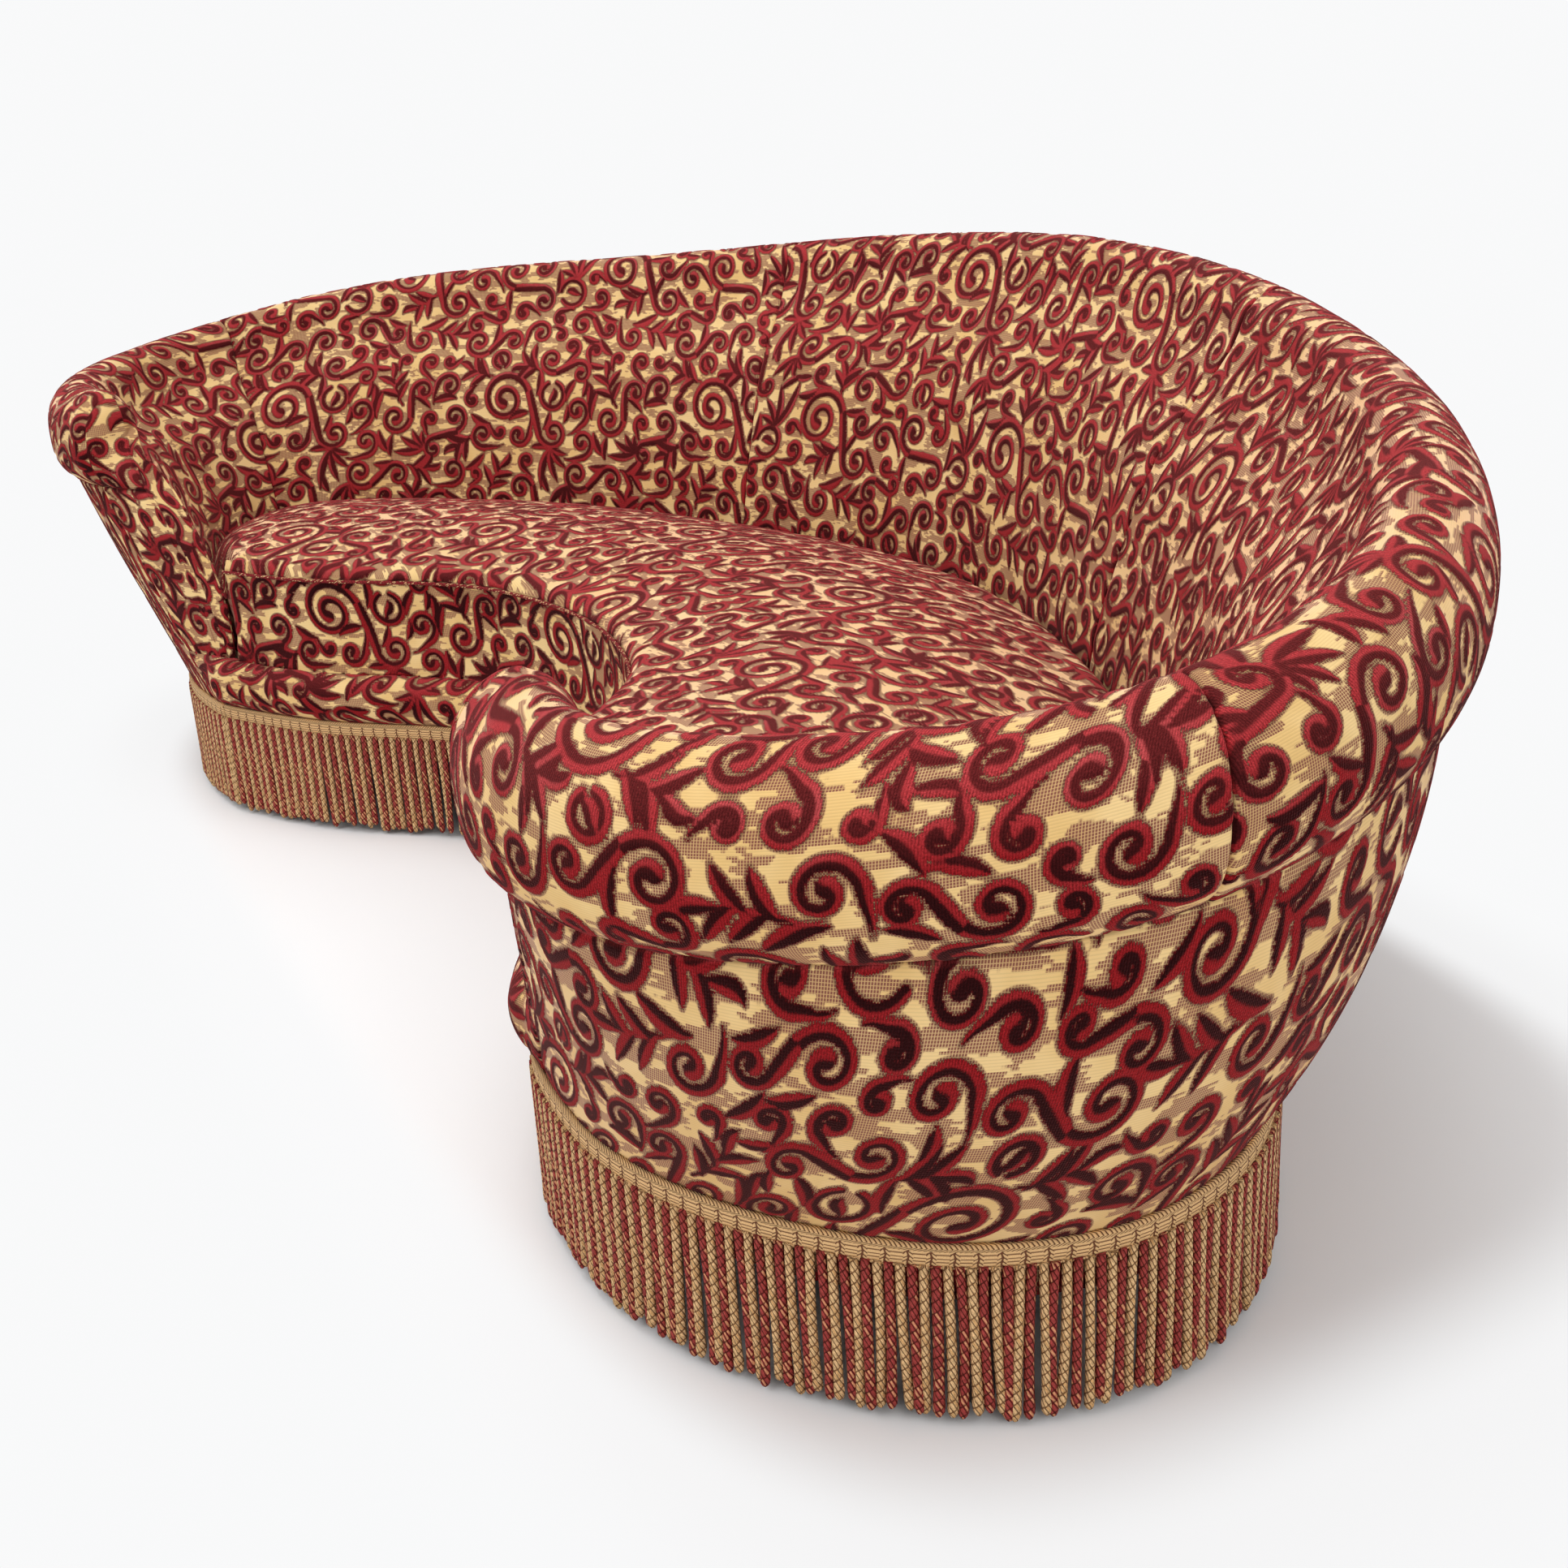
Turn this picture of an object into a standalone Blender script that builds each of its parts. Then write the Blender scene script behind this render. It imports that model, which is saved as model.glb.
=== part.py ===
"""Curved sofa on a hidden hardwood frame, with one long loose cushion and a bullion fringe.

The sofa is a crescent in plan: +X is the right end, -Y the open front and +Z up, in metres.
A padded wall runs from one arm front round the back to the other. Its rim is highest at the
middle of the back. Every piece follows the wall's stations, so it moves with the plan's sizes.
"""
import math

import bmesh
import bpy
import numpy as np

# Rim: the centre line of the rolled edge, half of the plan from the back centre to an arm front.
# It leans out beyond the base line.
LEAN_AT_ENDS = 0.121
LEAN_AT_BACK = 0.158
LEAN_AT_FRONT = 0.0576
BACK_RIM_HEIGHT = 0.765
ARM_RIM_HEIGHT = 0.588
RIM_X_shares = (0.0, 0.212, 0.419, 0.613, 0.783, 0.912, 0.986, 1.0, 0.950, 0.852, 0.757, 0.694)
RIM_Y_shares = (1.0, 0.975, 0.906, 0.798, 0.661, 0.518, 0.381, 0.250, 0.121, 0.025, 0.0, 0.012)
RIM_FALL_shares = (0.0, 0.045, 0.15, 0.27, 0.35, 0.45, 0.59, 0.75, 0.88, 0.96, 1.0, 1.0)

# Base line: the cover's outline at the top of the fringe heading
BASE_HALF_WIDTH = 1.216
BASE_DEPTH = 0.994
BASE_BACK_share = 0.4495
BASE_X_shares = (0.0, 0.205, 0.417, 0.629, 0.810, 0.950, 0.999, 0.986, 0.940, 0.842, 0.711, 0.588)
BASE_Y_shares = (1.0, 0.972, 0.903, 0.809, 0.682, 0.520, 0.362, 0.255, 0.158, 0.060, 0.0, 0.002)
# The front edge of the base, from the right arm front to the middle of the hollow front
FRONT_X_shares = (0.526, 0.432, 0.350, 0.245, 0.125, 0.0)
FRONT_Y_shares = (0.024, 0.091, 0.175, 0.297, 0.358, 0.377)

# Seat line: where the wall's inner face stands on the deck, inside the base line
WALL_FOOT_AT_ENDS = 0.066
WALL_FOOT_AT_BACK = 0.040
WALL_FOOT_AT_FRONT = 0.0339
SEAT_X_shares = (0.0, 0.202, 0.405, 0.617, 0.796, 0.925, 0.992, 0.990, 0.936, 0.840, 0.700, 0.585,
                 0.561)
SEAT_Y_shares = (1.0, 0.970, 0.893, 0.770, 0.610, 0.450, 0.325, 0.235, 0.143, 0.060, 0.015, 0.003,
                 -0.006)

# Levels above the floor
GLIDE_HEIGHT = 0.005
FOOT_TOP = 0.120
RAIL_HEIGHT = 0.110
STRAP_THICKNESS = 0.0025
BURLAP_THICKNESS = 0.0012
HEADING_TOP = 0.183
HEADING_HEIGHT = 0.024
FRINGE_CLEARANCE = 0.008
COVER_BOTTOM = 0.128

# Rolled rim, as places outward of and above the rim's centre line
ROLL_OUT = 0.071
ROLL_IN = 0.031
ROLL_HEIGHT = 0.072
ROLL_SEAM_DROP = 0.078
ROLL_SEAM_OUT = 0.040
ROLL_OUT_shares = (0.563, 0.87, 1.0, 0.90, 0.59, 0.17)
ROLL_UP_shares = (-1.083, -0.78, -0.19, 0.42, 0.83, 1.0)
ROLL_IN_shares = (0.45, 1.0)
ROLL_IN_UP_shares = (0.84, 0.39)
# Inner face: how far the wall has moved in, against how far it has dropped to the seat level
FACE_LEVEL = 0.345
FACE_IN_shares = (0.29, 0.50, 0.66, 0.77, 0.87, 0.95, 1.0)
FACE_DROP_shares = (0.06, 0.21, 0.36, 0.52, 0.68, 0.84, 1.0)

# Padding, covers and the space between them
GAP = 0.0003
COVER_THICKNESS = 0.010
PANEL_BULGE = 0.030
BULGE_END_STATION = 10.2
BULGE_FADE_STATIONS = 2.2
PAD_ON_RAIL_INSET = 0.0345
SEAM_GAP = 0.0012
NOSE_LENGTH = 0.042
NOSE_SEAM = 0.0015
NOSE_STEPS = 7
NOSE_TURN_share = 0.97
NOSE_RIM_share = 0.7
PANEL_ROW_shares = (0.0, 0.25, 0.5, 0.75, 1.0)
NOSE_ROW_shares = (1.0, 0.75, 0.5, 0.25, 0.02)
BACK_SEAM_STATION = 2.0
ARM_SEAM_STATION = 7.0
OUTSIDE_SEAM_STATION = 4.0

# Timber frame
RAIL_INSET = 0.0115
RAIL_THICKNESS = 0.040
TOP_RAIL_WIDTH = 0.038
TOP_RAIL_HEIGHT = 0.055
TOP_RAIL_OUT = 0.009
TOP_RAIL_CLEARANCE = 0.0010
POST_WIDTH = 0.038
POST_THICKNESS = 0.0190
POST_CLEARANCE = 0.0020
STRETCHER_WIDTH = 0.045
STRETCHER_HEIGHT = 0.070
STRETCHER_CLEARANCE = 0.0010
FOOT_TOP_RADIUS = 0.017
FOOT_TIP_RADIUS = 0.013
GLIDE_RADIUS = 0.011
STRAP_WIDTH = 0.050
FRONT_RAIL_STATIONS = 1.15
TOP_RAIL_END_STATIONS = 0.05
CROSSING_STATIONS = 1.0
CROSSING_BACK_STATION = 6.0
FRONT_FOOT_STATIONS = 0.2
END_FOOT_STATION = 7.6
BACK_FOOT_STATION = 3.4
POST_STATIONS = (-10.0, -8.3, -5.3, -2.6, 2.6, 5.3, 8.3, 10.0)
POST_NAMES = ("left_arm_stump", "left_arm_post", "left_corner_post", "left_back_post",
              "right_back_post", "right_corner_post", "right_arm_post", "right_arm_stump")
STRAP_PLACE_shares = (-0.72, -0.50, -0.22, 0.0, 0.22, 0.50, 0.72)
STRETCHER_PLACE_shares = (-0.36, 0.36)

# Deck border: the roll between the cushion and the fringe
BORDER_BULGE = 0.022
BORDER_DEPTH = 0.044
BORDER_DEPTH_AT_ARM = 0.0125
BORDER_TOP = 0.2590
BORDER_FADE_STATIONS = 0.9
BORDER_NARROW_STATIONS = 1.3
BORDER_OUT_shares = (0.0, 0.65, 1.0, 0.7, 0.0)
BORDER_RISE_shares = (0.0, 0.18, 0.5, 0.85, 1.0)
DECK_CLEARANCE = 0.0010
DECK_FRONT_STATIONS = 0.25
DECK_END_STATIONS = 0.2

# Seat cushion
CUSHION_GAP = 0.0005
CUSHION_FRONT_INSET = 0.004
CUSHION_BACK_GAP = 0.008
BOXING_HEIGHT = 0.160
CUSHION_REAR_FALL = 0.045
CROWN_HEIGHT = 0.042
BOXING_DRAW = 0.005
CUSHION_CORNER = 0.014
CASE_THICKNESS = 0.0025
CORE_CLEARANCE = 0.0015
PIPING_RADIUS = 0.0026
ZIP_LENGTH = 0.30
ZIP_HEIGHT = 0.012
ZIP_DEPTH = 0.040
ZIP_RISE_share = 0.35
CROWN_END_FADE_share = 5
CROWN_ROUND_share = 0.8
REAR_FALL_CURVE_share = 1.5
CORNER_DRAW_share = 0.4
MITRE_LIMIT_share = 0.4
TIP_CROWDING_share = 1.2

# Fringe
FRINGE_GAP = 0.0006
HEADING_THICKNESS = 0.006
SKIRT_THICKNESS = 0.009
RUN_GAP = 0.0010
FRINGE_CORNER_STATIONS = 0.6

# Counts
STEPS_PER_STATION = 3
SLOPE_STATIONS = 0.01
LAST = len(RIM_X_shares) - 1
CUSHION_ROWS = 39

BASE_BACK_Y = BASE_DEPTH * BASE_BACK_share
BASE_FRONT_Y = BASE_BACK_Y - BASE_DEPTH
RIM_HALF_WIDTH = BASE_HALF_WIDTH + LEAN_AT_ENDS
RIM_BACK_Y = BASE_BACK_Y + LEAN_AT_BACK
RIM_FRONT_Y = BASE_FRONT_Y - LEAN_AT_FRONT
SEAT_HALF_WIDTH = BASE_HALF_WIDTH - WALL_FOOT_AT_ENDS
SEAT_BACK_Y = BASE_BACK_Y - WALL_FOOT_AT_BACK
SEAT_FRONT_Y = BASE_FRONT_Y + WALL_FOOT_AT_FRONT
RAIL_TOP = FOOT_TOP + GAP + RAIL_HEIGHT
STRAP_BOTTOM = RAIL_TOP + GAP
BURLAP_BOTTOM = STRAP_BOTTOM + STRAP_THICKNESS + GAP
PAD_BOTTOM = BURLAP_BOTTOM + BURLAP_THICKNESS + GAP
DECK_TOP = BORDER_TOP
CUSHION_BOTTOM = BORDER_TOP + CUSHION_GAP
NOSE_BOTTOM = BORDER_TOP + GAP
RAIL_MIDDLE = RAIL_INSET + RAIL_THICKNESS / 2


# Curves through the stations

def slopes(values, closed):
    """Slopes that make a cubic through evenly numbered values smooth to the second order."""
    n = len(values)
    matrix = np.zeros((n, n))
    right = np.zeros_like(values)
    for i in range(n):
        if closed or 0 < i < n - 1:
            matrix[i, (i - 1) % n] = 1
            matrix[i, i] = 4
            matrix[i, (i + 1) % n] = 1
            right[i] = 3 * (values[(i + 1) % n] - values[(i - 1) % n])
        else:
            other = 1 if i == 0 else n - 2
            matrix[i, i] = 2
            matrix[i, other] = 1
            right[i] = 3 * (values[other] - values[i]) * (1 if i == 0 else -1)
    return np.linalg.solve(matrix, right)


class Curve:
    """A smooth curve through numbered points. Places between its steps lie on the chord."""

    def __init__(self, points, first, closed=False):
        self.points = np.array(points, float)
        self.first = first
        self.closed = closed
        self.slopes = slopes(self.points, closed)

    def smooth(self, place):
        n = len(self.points)
        t = place - self.first
        if self.closed:
            t = t % n
            i = int(t)
            j = (i + 1) % n
        else:
            i = int(min(max(math.floor(t), 0), n - 2))
            j = i + 1
        u = t - i
        a = self.points[i]
        b = self.points[j]
        return (a * (2 * u**3 - 3 * u**2 + 1) + b * (3 * u**2 - 2 * u**3)
                + self.slopes[i] * (u**3 - 2 * u**2 + u) + self.slopes[j] * (u**3 - u**2))

    def across(self, place):
        """Unit vector in plan, square to the curve and away from the sofa."""
        run = (self.smooth(place + SLOPE_STATIONS) - self.smooth(place - SLOPE_STATIONS))[:2]
        run = run / np.linalg.norm(run)
        return np.array([-run[1], run[0]])

    def ahead(self, place):
        out = self.across(place)
        return np.array([out[1], -out[0], 0.0])


def on_steps(function, place):
    """The function's value at a place, straight between the steps every piece shares."""
    low = math.floor(place * STEPS_PER_STATION + 1e-6) / STEPS_PER_STATION
    share = (place - low) * STEPS_PER_STATION
    if share < 1e-4:
        return function(low)
    return function(low) * (1 - share) + function(low + 1 / STEPS_PER_STATION) * share


def stops(start, end):
    """The start, the shared steps after it and the end."""
    low = math.floor(start * STEPS_PER_STATION + 1e-6) + 1
    high = math.ceil(end * STEPS_PER_STATION - 1e-6) - 1
    return [start] + [i / STEPS_PER_STATION for i in range(low, high + 1)] + [end]


def half_plan(x_shares, y_shares, half_width, back_y, front_y):
    return [(x * half_width, front_y + y * (back_y - front_y)) for x, y in zip(x_shares, y_shares)]


def both_halves(right_half):
    """The stations from the left arm front to the right one."""
    left = [(-p[0],) + tuple(p[1:]) for p in right_half[:0:-1]]
    return left + list(right_half)


def make_curves():
    rim_plan = half_plan(RIM_X_shares, RIM_Y_shares, RIM_HALF_WIDTH, RIM_BACK_Y, RIM_FRONT_Y)
    drop = BACK_RIM_HEIGHT - ARM_RIM_HEIGHT
    rim_half = [(x, y, BACK_RIM_HEIGHT - drop * fall)
                for (x, y), fall in zip(rim_plan, RIM_FALL_shares)]
    base_half = half_plan(BASE_X_shares, BASE_Y_shares, BASE_HALF_WIDTH, BASE_BACK_Y, BASE_FRONT_Y)
    front_half = half_plan(FRONT_X_shares, FRONT_Y_shares, BASE_HALF_WIDTH, BASE_BACK_Y,
                           BASE_FRONT_Y)
    seat_half = half_plan(SEAT_X_shares, SEAT_Y_shares, SEAT_HALF_WIDTH, SEAT_BACK_Y, SEAT_FRONT_Y)
    front_left = [(-x, y) for x, y in front_half[-2::-1]]
    rim = Curve(both_halves(rim_half), -LAST)
    seat = Curve(both_halves(seat_half), -LAST - 1)
    base = Curve(both_halves(base_half) + front_half + front_left, -LAST, closed=True)
    return rim, base, seat


RIM, BASE, SEAT = make_curves()
BASE_COUNT = len(BASE.points)
FRONT_START = LAST + FRONT_RAIL_STATIONS
FRONT_END = BASE_COUNT - LAST - FRONT_RAIL_STATIONS
FRINGE_CORNER = LAST + FRINGE_CORNER_STATIONS
FRINGE_CORNER_LEFT = BASE_COUNT - LAST - FRINGE_CORNER_STATIONS


def base_side(place, out):
    """A plan point beside the base line; out is positive away from the sofa."""
    return on_steps(lambda p: BASE.smooth(p) + BASE.across(p) * out, place)


def seat_side(place, inward):
    """A plan point on the seat side of the wall's inner face."""
    return on_steps(lambda p: SEAT.smooth(p) - SEAT.across(p) * inward, place)


def at_level(plan_point, z):
    return np.array([plan_point[0], plan_point[1], z])


# Sections of the wall

def rim_frame(place):
    out = RIM.across(place)
    return RIM.smooth(place), np.array([out[0], out[1], 0.0]), np.array([0.0, 0.0, 1.0])


def in_stations(place, distance):
    """A short distance along the rim, as a share of a station."""
    side = -1 if place > 0 else 1
    run = RIM.smooth(place + side * SLOPE_STATIONS) - RIM.smooth(place)
    return distance / (np.linalg.norm(run) / SLOPE_STATIONS)


def roll_points(place):
    """The rolled rim, from the seam under it over the top to the inner shoulder."""
    rim, out, up = rim_frame(place)
    points = [rim + out * ROLL_OUT * o + up * ROLL_HEIGHT * u
              for o, u in zip(ROLL_OUT_shares, ROLL_UP_shares)]
    points += [rim - out * ROLL_IN * o + up * ROLL_HEIGHT * u
               for o, u in zip(ROLL_IN_shares, ROLL_IN_UP_shares)]
    return points


def face_points(place, foot):
    """The inner face, from the shoulder down to the seat level and then straight to the foot."""
    rim, out, up = rim_frame(place)
    seat = SEAT.smooth(place)
    run = at_level(seat - rim[:2], 0.0)
    depth = rim[2] - FACE_LEVEL
    points = [rim + run * i - up * depth * d for i, d in zip(FACE_IN_shares, FACE_DROP_shares)]
    return points + [at_level(seat, foot)]


def panel_point(place, share, inset=0.0):
    """A point of the outside panel, from the roll's seam (0) to the fringe heading (1)."""
    rim, out, up = rim_frame(place)
    top = rim + out * (ROLL_SEAM_OUT - inset) - up * (ROLL_SEAM_DROP + GAP)
    foot = at_level(BASE.smooth(place) - BASE.across(place) * inset, HEADING_TOP)
    fade = min(1.0, max(0.0, (BULGE_END_STATION - abs(place)) / BULGE_FADE_STATIONS))
    bulge = PANEL_BULGE * fade * 4 * share * (1 - share)
    return top * (1 - share) + foot * share + out * bulge


def inside_section(place, foot=PAD_BOTTOM):
    """An inside panel with its padding and its share of the roll, open behind for the frame."""
    rim, out, up = rim_frame(place)
    skin = roll_points(place) + face_points(place, foot)
    foot_back = BASE.smooth(place) - BASE.across(place) * PAD_ON_RAIL_INSET
    outer = TOP_RAIL_OUT + TOP_RAIL_WIDTH / 2 + TOP_RAIL_CLEARANCE
    inner = TOP_RAIL_OUT - TOP_RAIL_WIDTH / 2 - TOP_RAIL_CLEARANCE
    back = [at_level(foot_back, foot),
            rim + out * inner - up * TOP_RAIL_HEIGHT,
            rim + out * inner + up * TOP_RAIL_CLEARANCE,
            rim + out * outer + up * TOP_RAIL_CLEARANCE,
            rim + out * outer - up * ROLL_SEAM_DROP]
    return np.array(skin + back)


def outside_section(place):
    """An outside panel, hanging from the roll's seam to behind the fringe."""
    skin = [panel_point(place, share) for share in PANEL_ROW_shares]
    skin.append(at_level(skin[-1][:2], COVER_BOTTOM))
    back = [panel_point(place, share, COVER_THICKNESS) for share in PANEL_ROW_shares]
    back.append(at_level(back[-1][:2], COVER_BOTTOM))
    return np.array(skin + back[::-1])


def full_section(place):
    """The wall's whole outline above the deck border, point for point with inside_section."""
    skin = roll_points(place) + face_points(place, NOSE_BOTTOM)
    low_share = (panel_point(place, 0)[2] - NOSE_BOTTOM) / (panel_point(place, 0)[2] - HEADING_TOP)
    outer = [panel_point(place, low_share * s) for s in NOSE_ROW_shares]
    return np.array(skin + outer)


def nose_sections(side):
    """The rounded front of an arm, turned about the middle of the wall."""
    place = side * LAST
    rim, out, up = rim_frame(place)
    loop = full_section(place)
    skin_count = len(roll_points(place))
    inner = loop[skin_count:-5]
    outer = loop[-5:]
    inner_at = inner[np.argsort(inner[:, 2])]
    outer_at = outer[np.argsort(outer[:, 2])]
    rim_ahead = RIM.ahead(place) * side
    base_ahead = BASE.ahead(place) * side
    sections = [inside_section(place, NOSE_BOTTOM) + base_ahead * GAP]
    for k in range(NOSE_STEPS):
        angle = math.pi / 2 * NOSE_TURN_share * k / (NOSE_STEPS - 1)
        section = []
        for point in loop:
            level = min(point[2], rim[2])
            share = (level - NOSE_BOTTOM) / (rim[2] - NOSE_BOTTOM)
            middle = np.array([
                (np.interp(level, inner_at[:, 2], inner_at[:, i])
                 + np.interp(level, outer_at[:, 2], outer_at[:, i])) / 2 for i in range(2)])
            blend = max(0.0, min(1.0, (share - NOSE_RIM_share) / (1 - NOSE_RIM_share)))
            middle = at_level(middle * (1 - blend) + rim[:2] * blend, level)
            ahead = base_ahead * (1 - share) + rim_ahead * share
            reach = NOSE_SEAM + NOSE_LENGTH * math.sin(angle)
            section.append(middle + (point - middle) * math.cos(angle) + ahead * reach)
        sections.append(np.array(section))
    return sections


# Mesh building

def new_object(name, mesh, material, collection):
    obj = bpy.data.objects.new(name, mesh)
    collection.objects.link(obj)
    obj.data.materials.append(material)
    return obj


def finish_bmesh(bm, name):
    bmesh.ops.remove_doubles(bm, verts=bm.verts, dist=0.00005)
    bmesh.ops.recalc_face_normals(bm, faces=bm.faces)
    mesh = bpy.data.meshes.new(name)
    bm.to_mesh(mesh)
    bm.free()
    mesh.shade_smooth()
    mesh.set_sharp_from_angle(angle=math.radians(40))
    return mesh


def shares_along(chain):
    steps = [(q.co - p.co).length for p, q in zip(chain, chain[1:])]
    return np.concatenate([[0.0], np.cumsum(steps)]) / sum(steps)


def zip_up(bm, one, other):
    """Triangles between two chains of vertices, stepping along both at the same pace."""
    along_one = shares_along(one)
    along_other = shares_along(other)
    i = 0
    j = 0
    while i < len(one) - 1 or j < len(other) - 1:
        on_one = i < len(one) - 1 and (j == len(other) - 1
                                       or along_one[i + 1] <= along_other[j + 1] + 1e-6)
        if on_one:
            bm.faces.new((one[i], one[i + 1], other[j]))
            i += 1
        else:
            bm.faces.new((one[i], other[j + 1], other[j]))
            j += 1


def loft(name, sections, split=0):
    """A closed body through loops of equal length.

    The ends are zipped between the first points up to the split and the rest, or filled flat.
    """
    bm = bmesh.new()
    rings = [[bm.verts.new(tuple(p)) for p in section] for section in sections]
    for a, b in zip(rings, rings[1:]):
        for i in range(len(a)):
            j = (i + 1) % len(a)
            bm.faces.new((a[i], a[j], b[j], b[i]))
    if split:
        for ring in (rings[0], rings[-1]):
            zip_up(bm, ring[:split], ring[:split - 1:-1])
    else:
        ends = [bm.faces.new(rings[0][::-1]), bm.faces.new(rings[-1])]
        bm.normal_update()
        bmesh.ops.triangulate(bm, faces=ends, ngon_method="EAR_CLIP")
    return finish_bmesh(bm, name)


def slab(name, outline, low, high, mat, collection):
    """A flat piece of a crescent outline between two levels."""
    sections = [[at_level(p, z) for p in outline] for z in (low, high)]
    return new_object(name, loft(name, sections), mat, collection)


# Materials

def material(name, colour, roughness, metallic=0.0):
    mat = bpy.data.materials.new(name)
    mat.use_nodes = True
    shader = mat.node_tree.nodes["Principled BSDF"]
    shader.inputs["Base Color"].default_value = (*colour, 1.0)
    shader.inputs["Roughness"].default_value = roughness
    shader.inputs["Metallic"].default_value = metallic
    mat.diffuse_color = (*colour, 1.0)
    return mat


VELVET = (0.34, 0.055, 0.065)
GOLD = (0.62, 0.42, 0.20)
FRINGE = (0.50, 0.25, 0.15)
BEECH = (0.55, 0.38, 0.22)
FOAM = (0.80, 0.74, 0.52)
JUTE = (0.48, 0.36, 0.22)
BLACK_CLOTH = (0.03, 0.03, 0.03)
NYLON = (0.10, 0.10, 0.10)


# Timber frame

def rail(name, start, end, collection, wood):
    """A bent rail of the base, a fixed distance inside the base line."""
    bottom = FOOT_TOP + GAP
    sections = []
    for place in stops(start, end):
        outer = base_side(place, -RAIL_INSET)
        inner = base_side(place, -RAIL_INSET - RAIL_THICKNESS)
        sections.append([at_level(outer, bottom), at_level(outer, RAIL_TOP),
                         at_level(inner, RAIL_TOP), at_level(inner, bottom)])
    new_object(name, loft(name, sections), wood, collection)


def top_rail(collection, wood):
    def section(place):
        rim, out, up = rim_frame(place)
        outer = rim + out * (TOP_RAIL_OUT + TOP_RAIL_WIDTH / 2)
        inner = rim + out * (TOP_RAIL_OUT - TOP_RAIL_WIDTH / 2)
        drop = up * TOP_RAIL_HEIGHT
        return np.array([outer, inner, inner - drop, outer - drop])

    end = LAST - TOP_RAIL_END_STATIONS
    sections = [on_steps(section, place) for place in stops(-end, end)]
    new_object("top_rail", loft("top_rail", sections), wood, collection)


def post(name, place, collection, wood):
    """A leaning post from the base rail to the underside of the top rail."""
    rim, out, up = rim_frame(place)
    half = POST_WIDTH / 2
    reach = in_stations(place, half)
    under = min(on_steps(RIM.smooth, place + d)[2] for d in (-reach, 0, reach))
    under = under - TOP_RAIL_HEIGHT - GAP
    base_out = BASE.across(place)
    foot = base_side(place, -PAD_ON_RAIL_INSET + POST_CLEARANCE)
    head = (on_steps(RIM.smooth, place)[:2]
            + out[:2] * (TOP_RAIL_OUT - TOP_RAIL_WIDTH / 2 + POST_CLEARANCE))
    quads = []
    for inner, away, level in ((foot, base_out, RAIL_TOP + GAP), (head, out[:2], under)):
        side = np.array([-away[1], away[0]]) * half
        outer = inner + away * POST_THICKNESS
        corners = (inner + side, inner - side, outer - side, outer + side)
        quads.append([at_level(c, level) for c in corners])
    new_object(name, loft(name, quads), wood, collection)


def rail_crossing(xs, offset):
    """The front and back rails' y at some x, along their line at this offset."""
    back = np.array([base_side(p, offset)
                     for p in stops(-CROSSING_BACK_STATION, CROSSING_BACK_STATION)])
    front = np.array([base_side(p, offset)
                      for p in stops(FRONT_START - CROSSING_STATIONS,
                                     FRONT_END + CROSSING_STATIONS)])[::-1]
    return np.interp(xs, front[:, 0], front[:, 1]), np.interp(xs, back[:, 0], back[:, 1])


def cross_piece(name, place_share, width, offset, margin, low, high, mat, collection):
    """A straight piece from the front rail to the back rail, its ends cut along them."""
    x = place_share * BASE_HALF_WIDTH
    xs = np.linspace(x - width / 2, x + width / 2, 4)
    front, back = rail_crossing(xs, offset)
    outline = [(px, y + margin) for px, y in zip(xs, front)]
    outline += [(px, y - margin) for px, y in zip(xs[::-1], back[::-1])]
    slab(name, outline, low, high, mat, collection)


def turned(name, x, y, low, high, low_radius, high_radius, mat, collection, sides=20):
    bm = bmesh.new()
    bmesh.ops.create_cone(bm, cap_ends=True, segments=sides, radius1=low_radius,
                          radius2=high_radius, depth=high - low)
    bmesh.ops.translate(bm, verts=bm.verts, vec=(0, 0, (high - low) / 2))
    mesh = bpy.data.meshes.new(name)
    bm.to_mesh(mesh)
    bm.free()
    mesh.shade_smooth()
    mesh.set_sharp_from_angle(angle=math.radians(40))
    obj = new_object(name, mesh, mat, collection)
    obj.location = (x, y, low)
    return obj


FOOT_PLACES = {
    "front_left": FRONT_END - FRONT_FOOT_STATIONS,
    "front_centre": (FRONT_START + FRONT_END) / 2,
    "front_right": FRONT_START + FRONT_FOOT_STATIONS,
    "end_right": END_FOOT_STATION,
    "back_right": BACK_FOOT_STATION,
    "back_left": -BACK_FOOT_STATION,
    "end_left": -END_FOOT_STATION,
}


def feet(collection, wood, nylon):
    for name, place in FOOT_PLACES.items():
        x, y = base_side(place, -RAIL_MIDDLE)
        turned("foot_" + name, x, y, GLIDE_HEIGHT + GAP, FOOT_TOP, FOOT_TIP_RADIUS,
               FOOT_TOP_RADIUS, wood, collection)
        turned("glide_" + name, x, y, 0, GLIDE_HEIGHT, GLIDE_RADIUS, GLIDE_RADIUS, nylon,
               collection, 16)


# Seat cushion

def seat_rows(count):
    """Matched points of the seat's front and back edges, from the left tip to the right tip."""
    middle = (FRONT_START + FRONT_END) / 2
    reach = (FRONT_END - FRONT_START) / 2
    back_reach = LAST + 1
    fronts = []
    backs = []
    for share in np.linspace(-1.0, 1.0, count):
        along = math.copysign(1 - (1 - abs(share)) ** TIP_CROWDING_share, share)
        fronts.append(BASE.smooth(middle - along * reach))
        backs.append(SEAT.smooth(share * back_reach))
    return np.array(fronts), np.array(backs)


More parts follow.
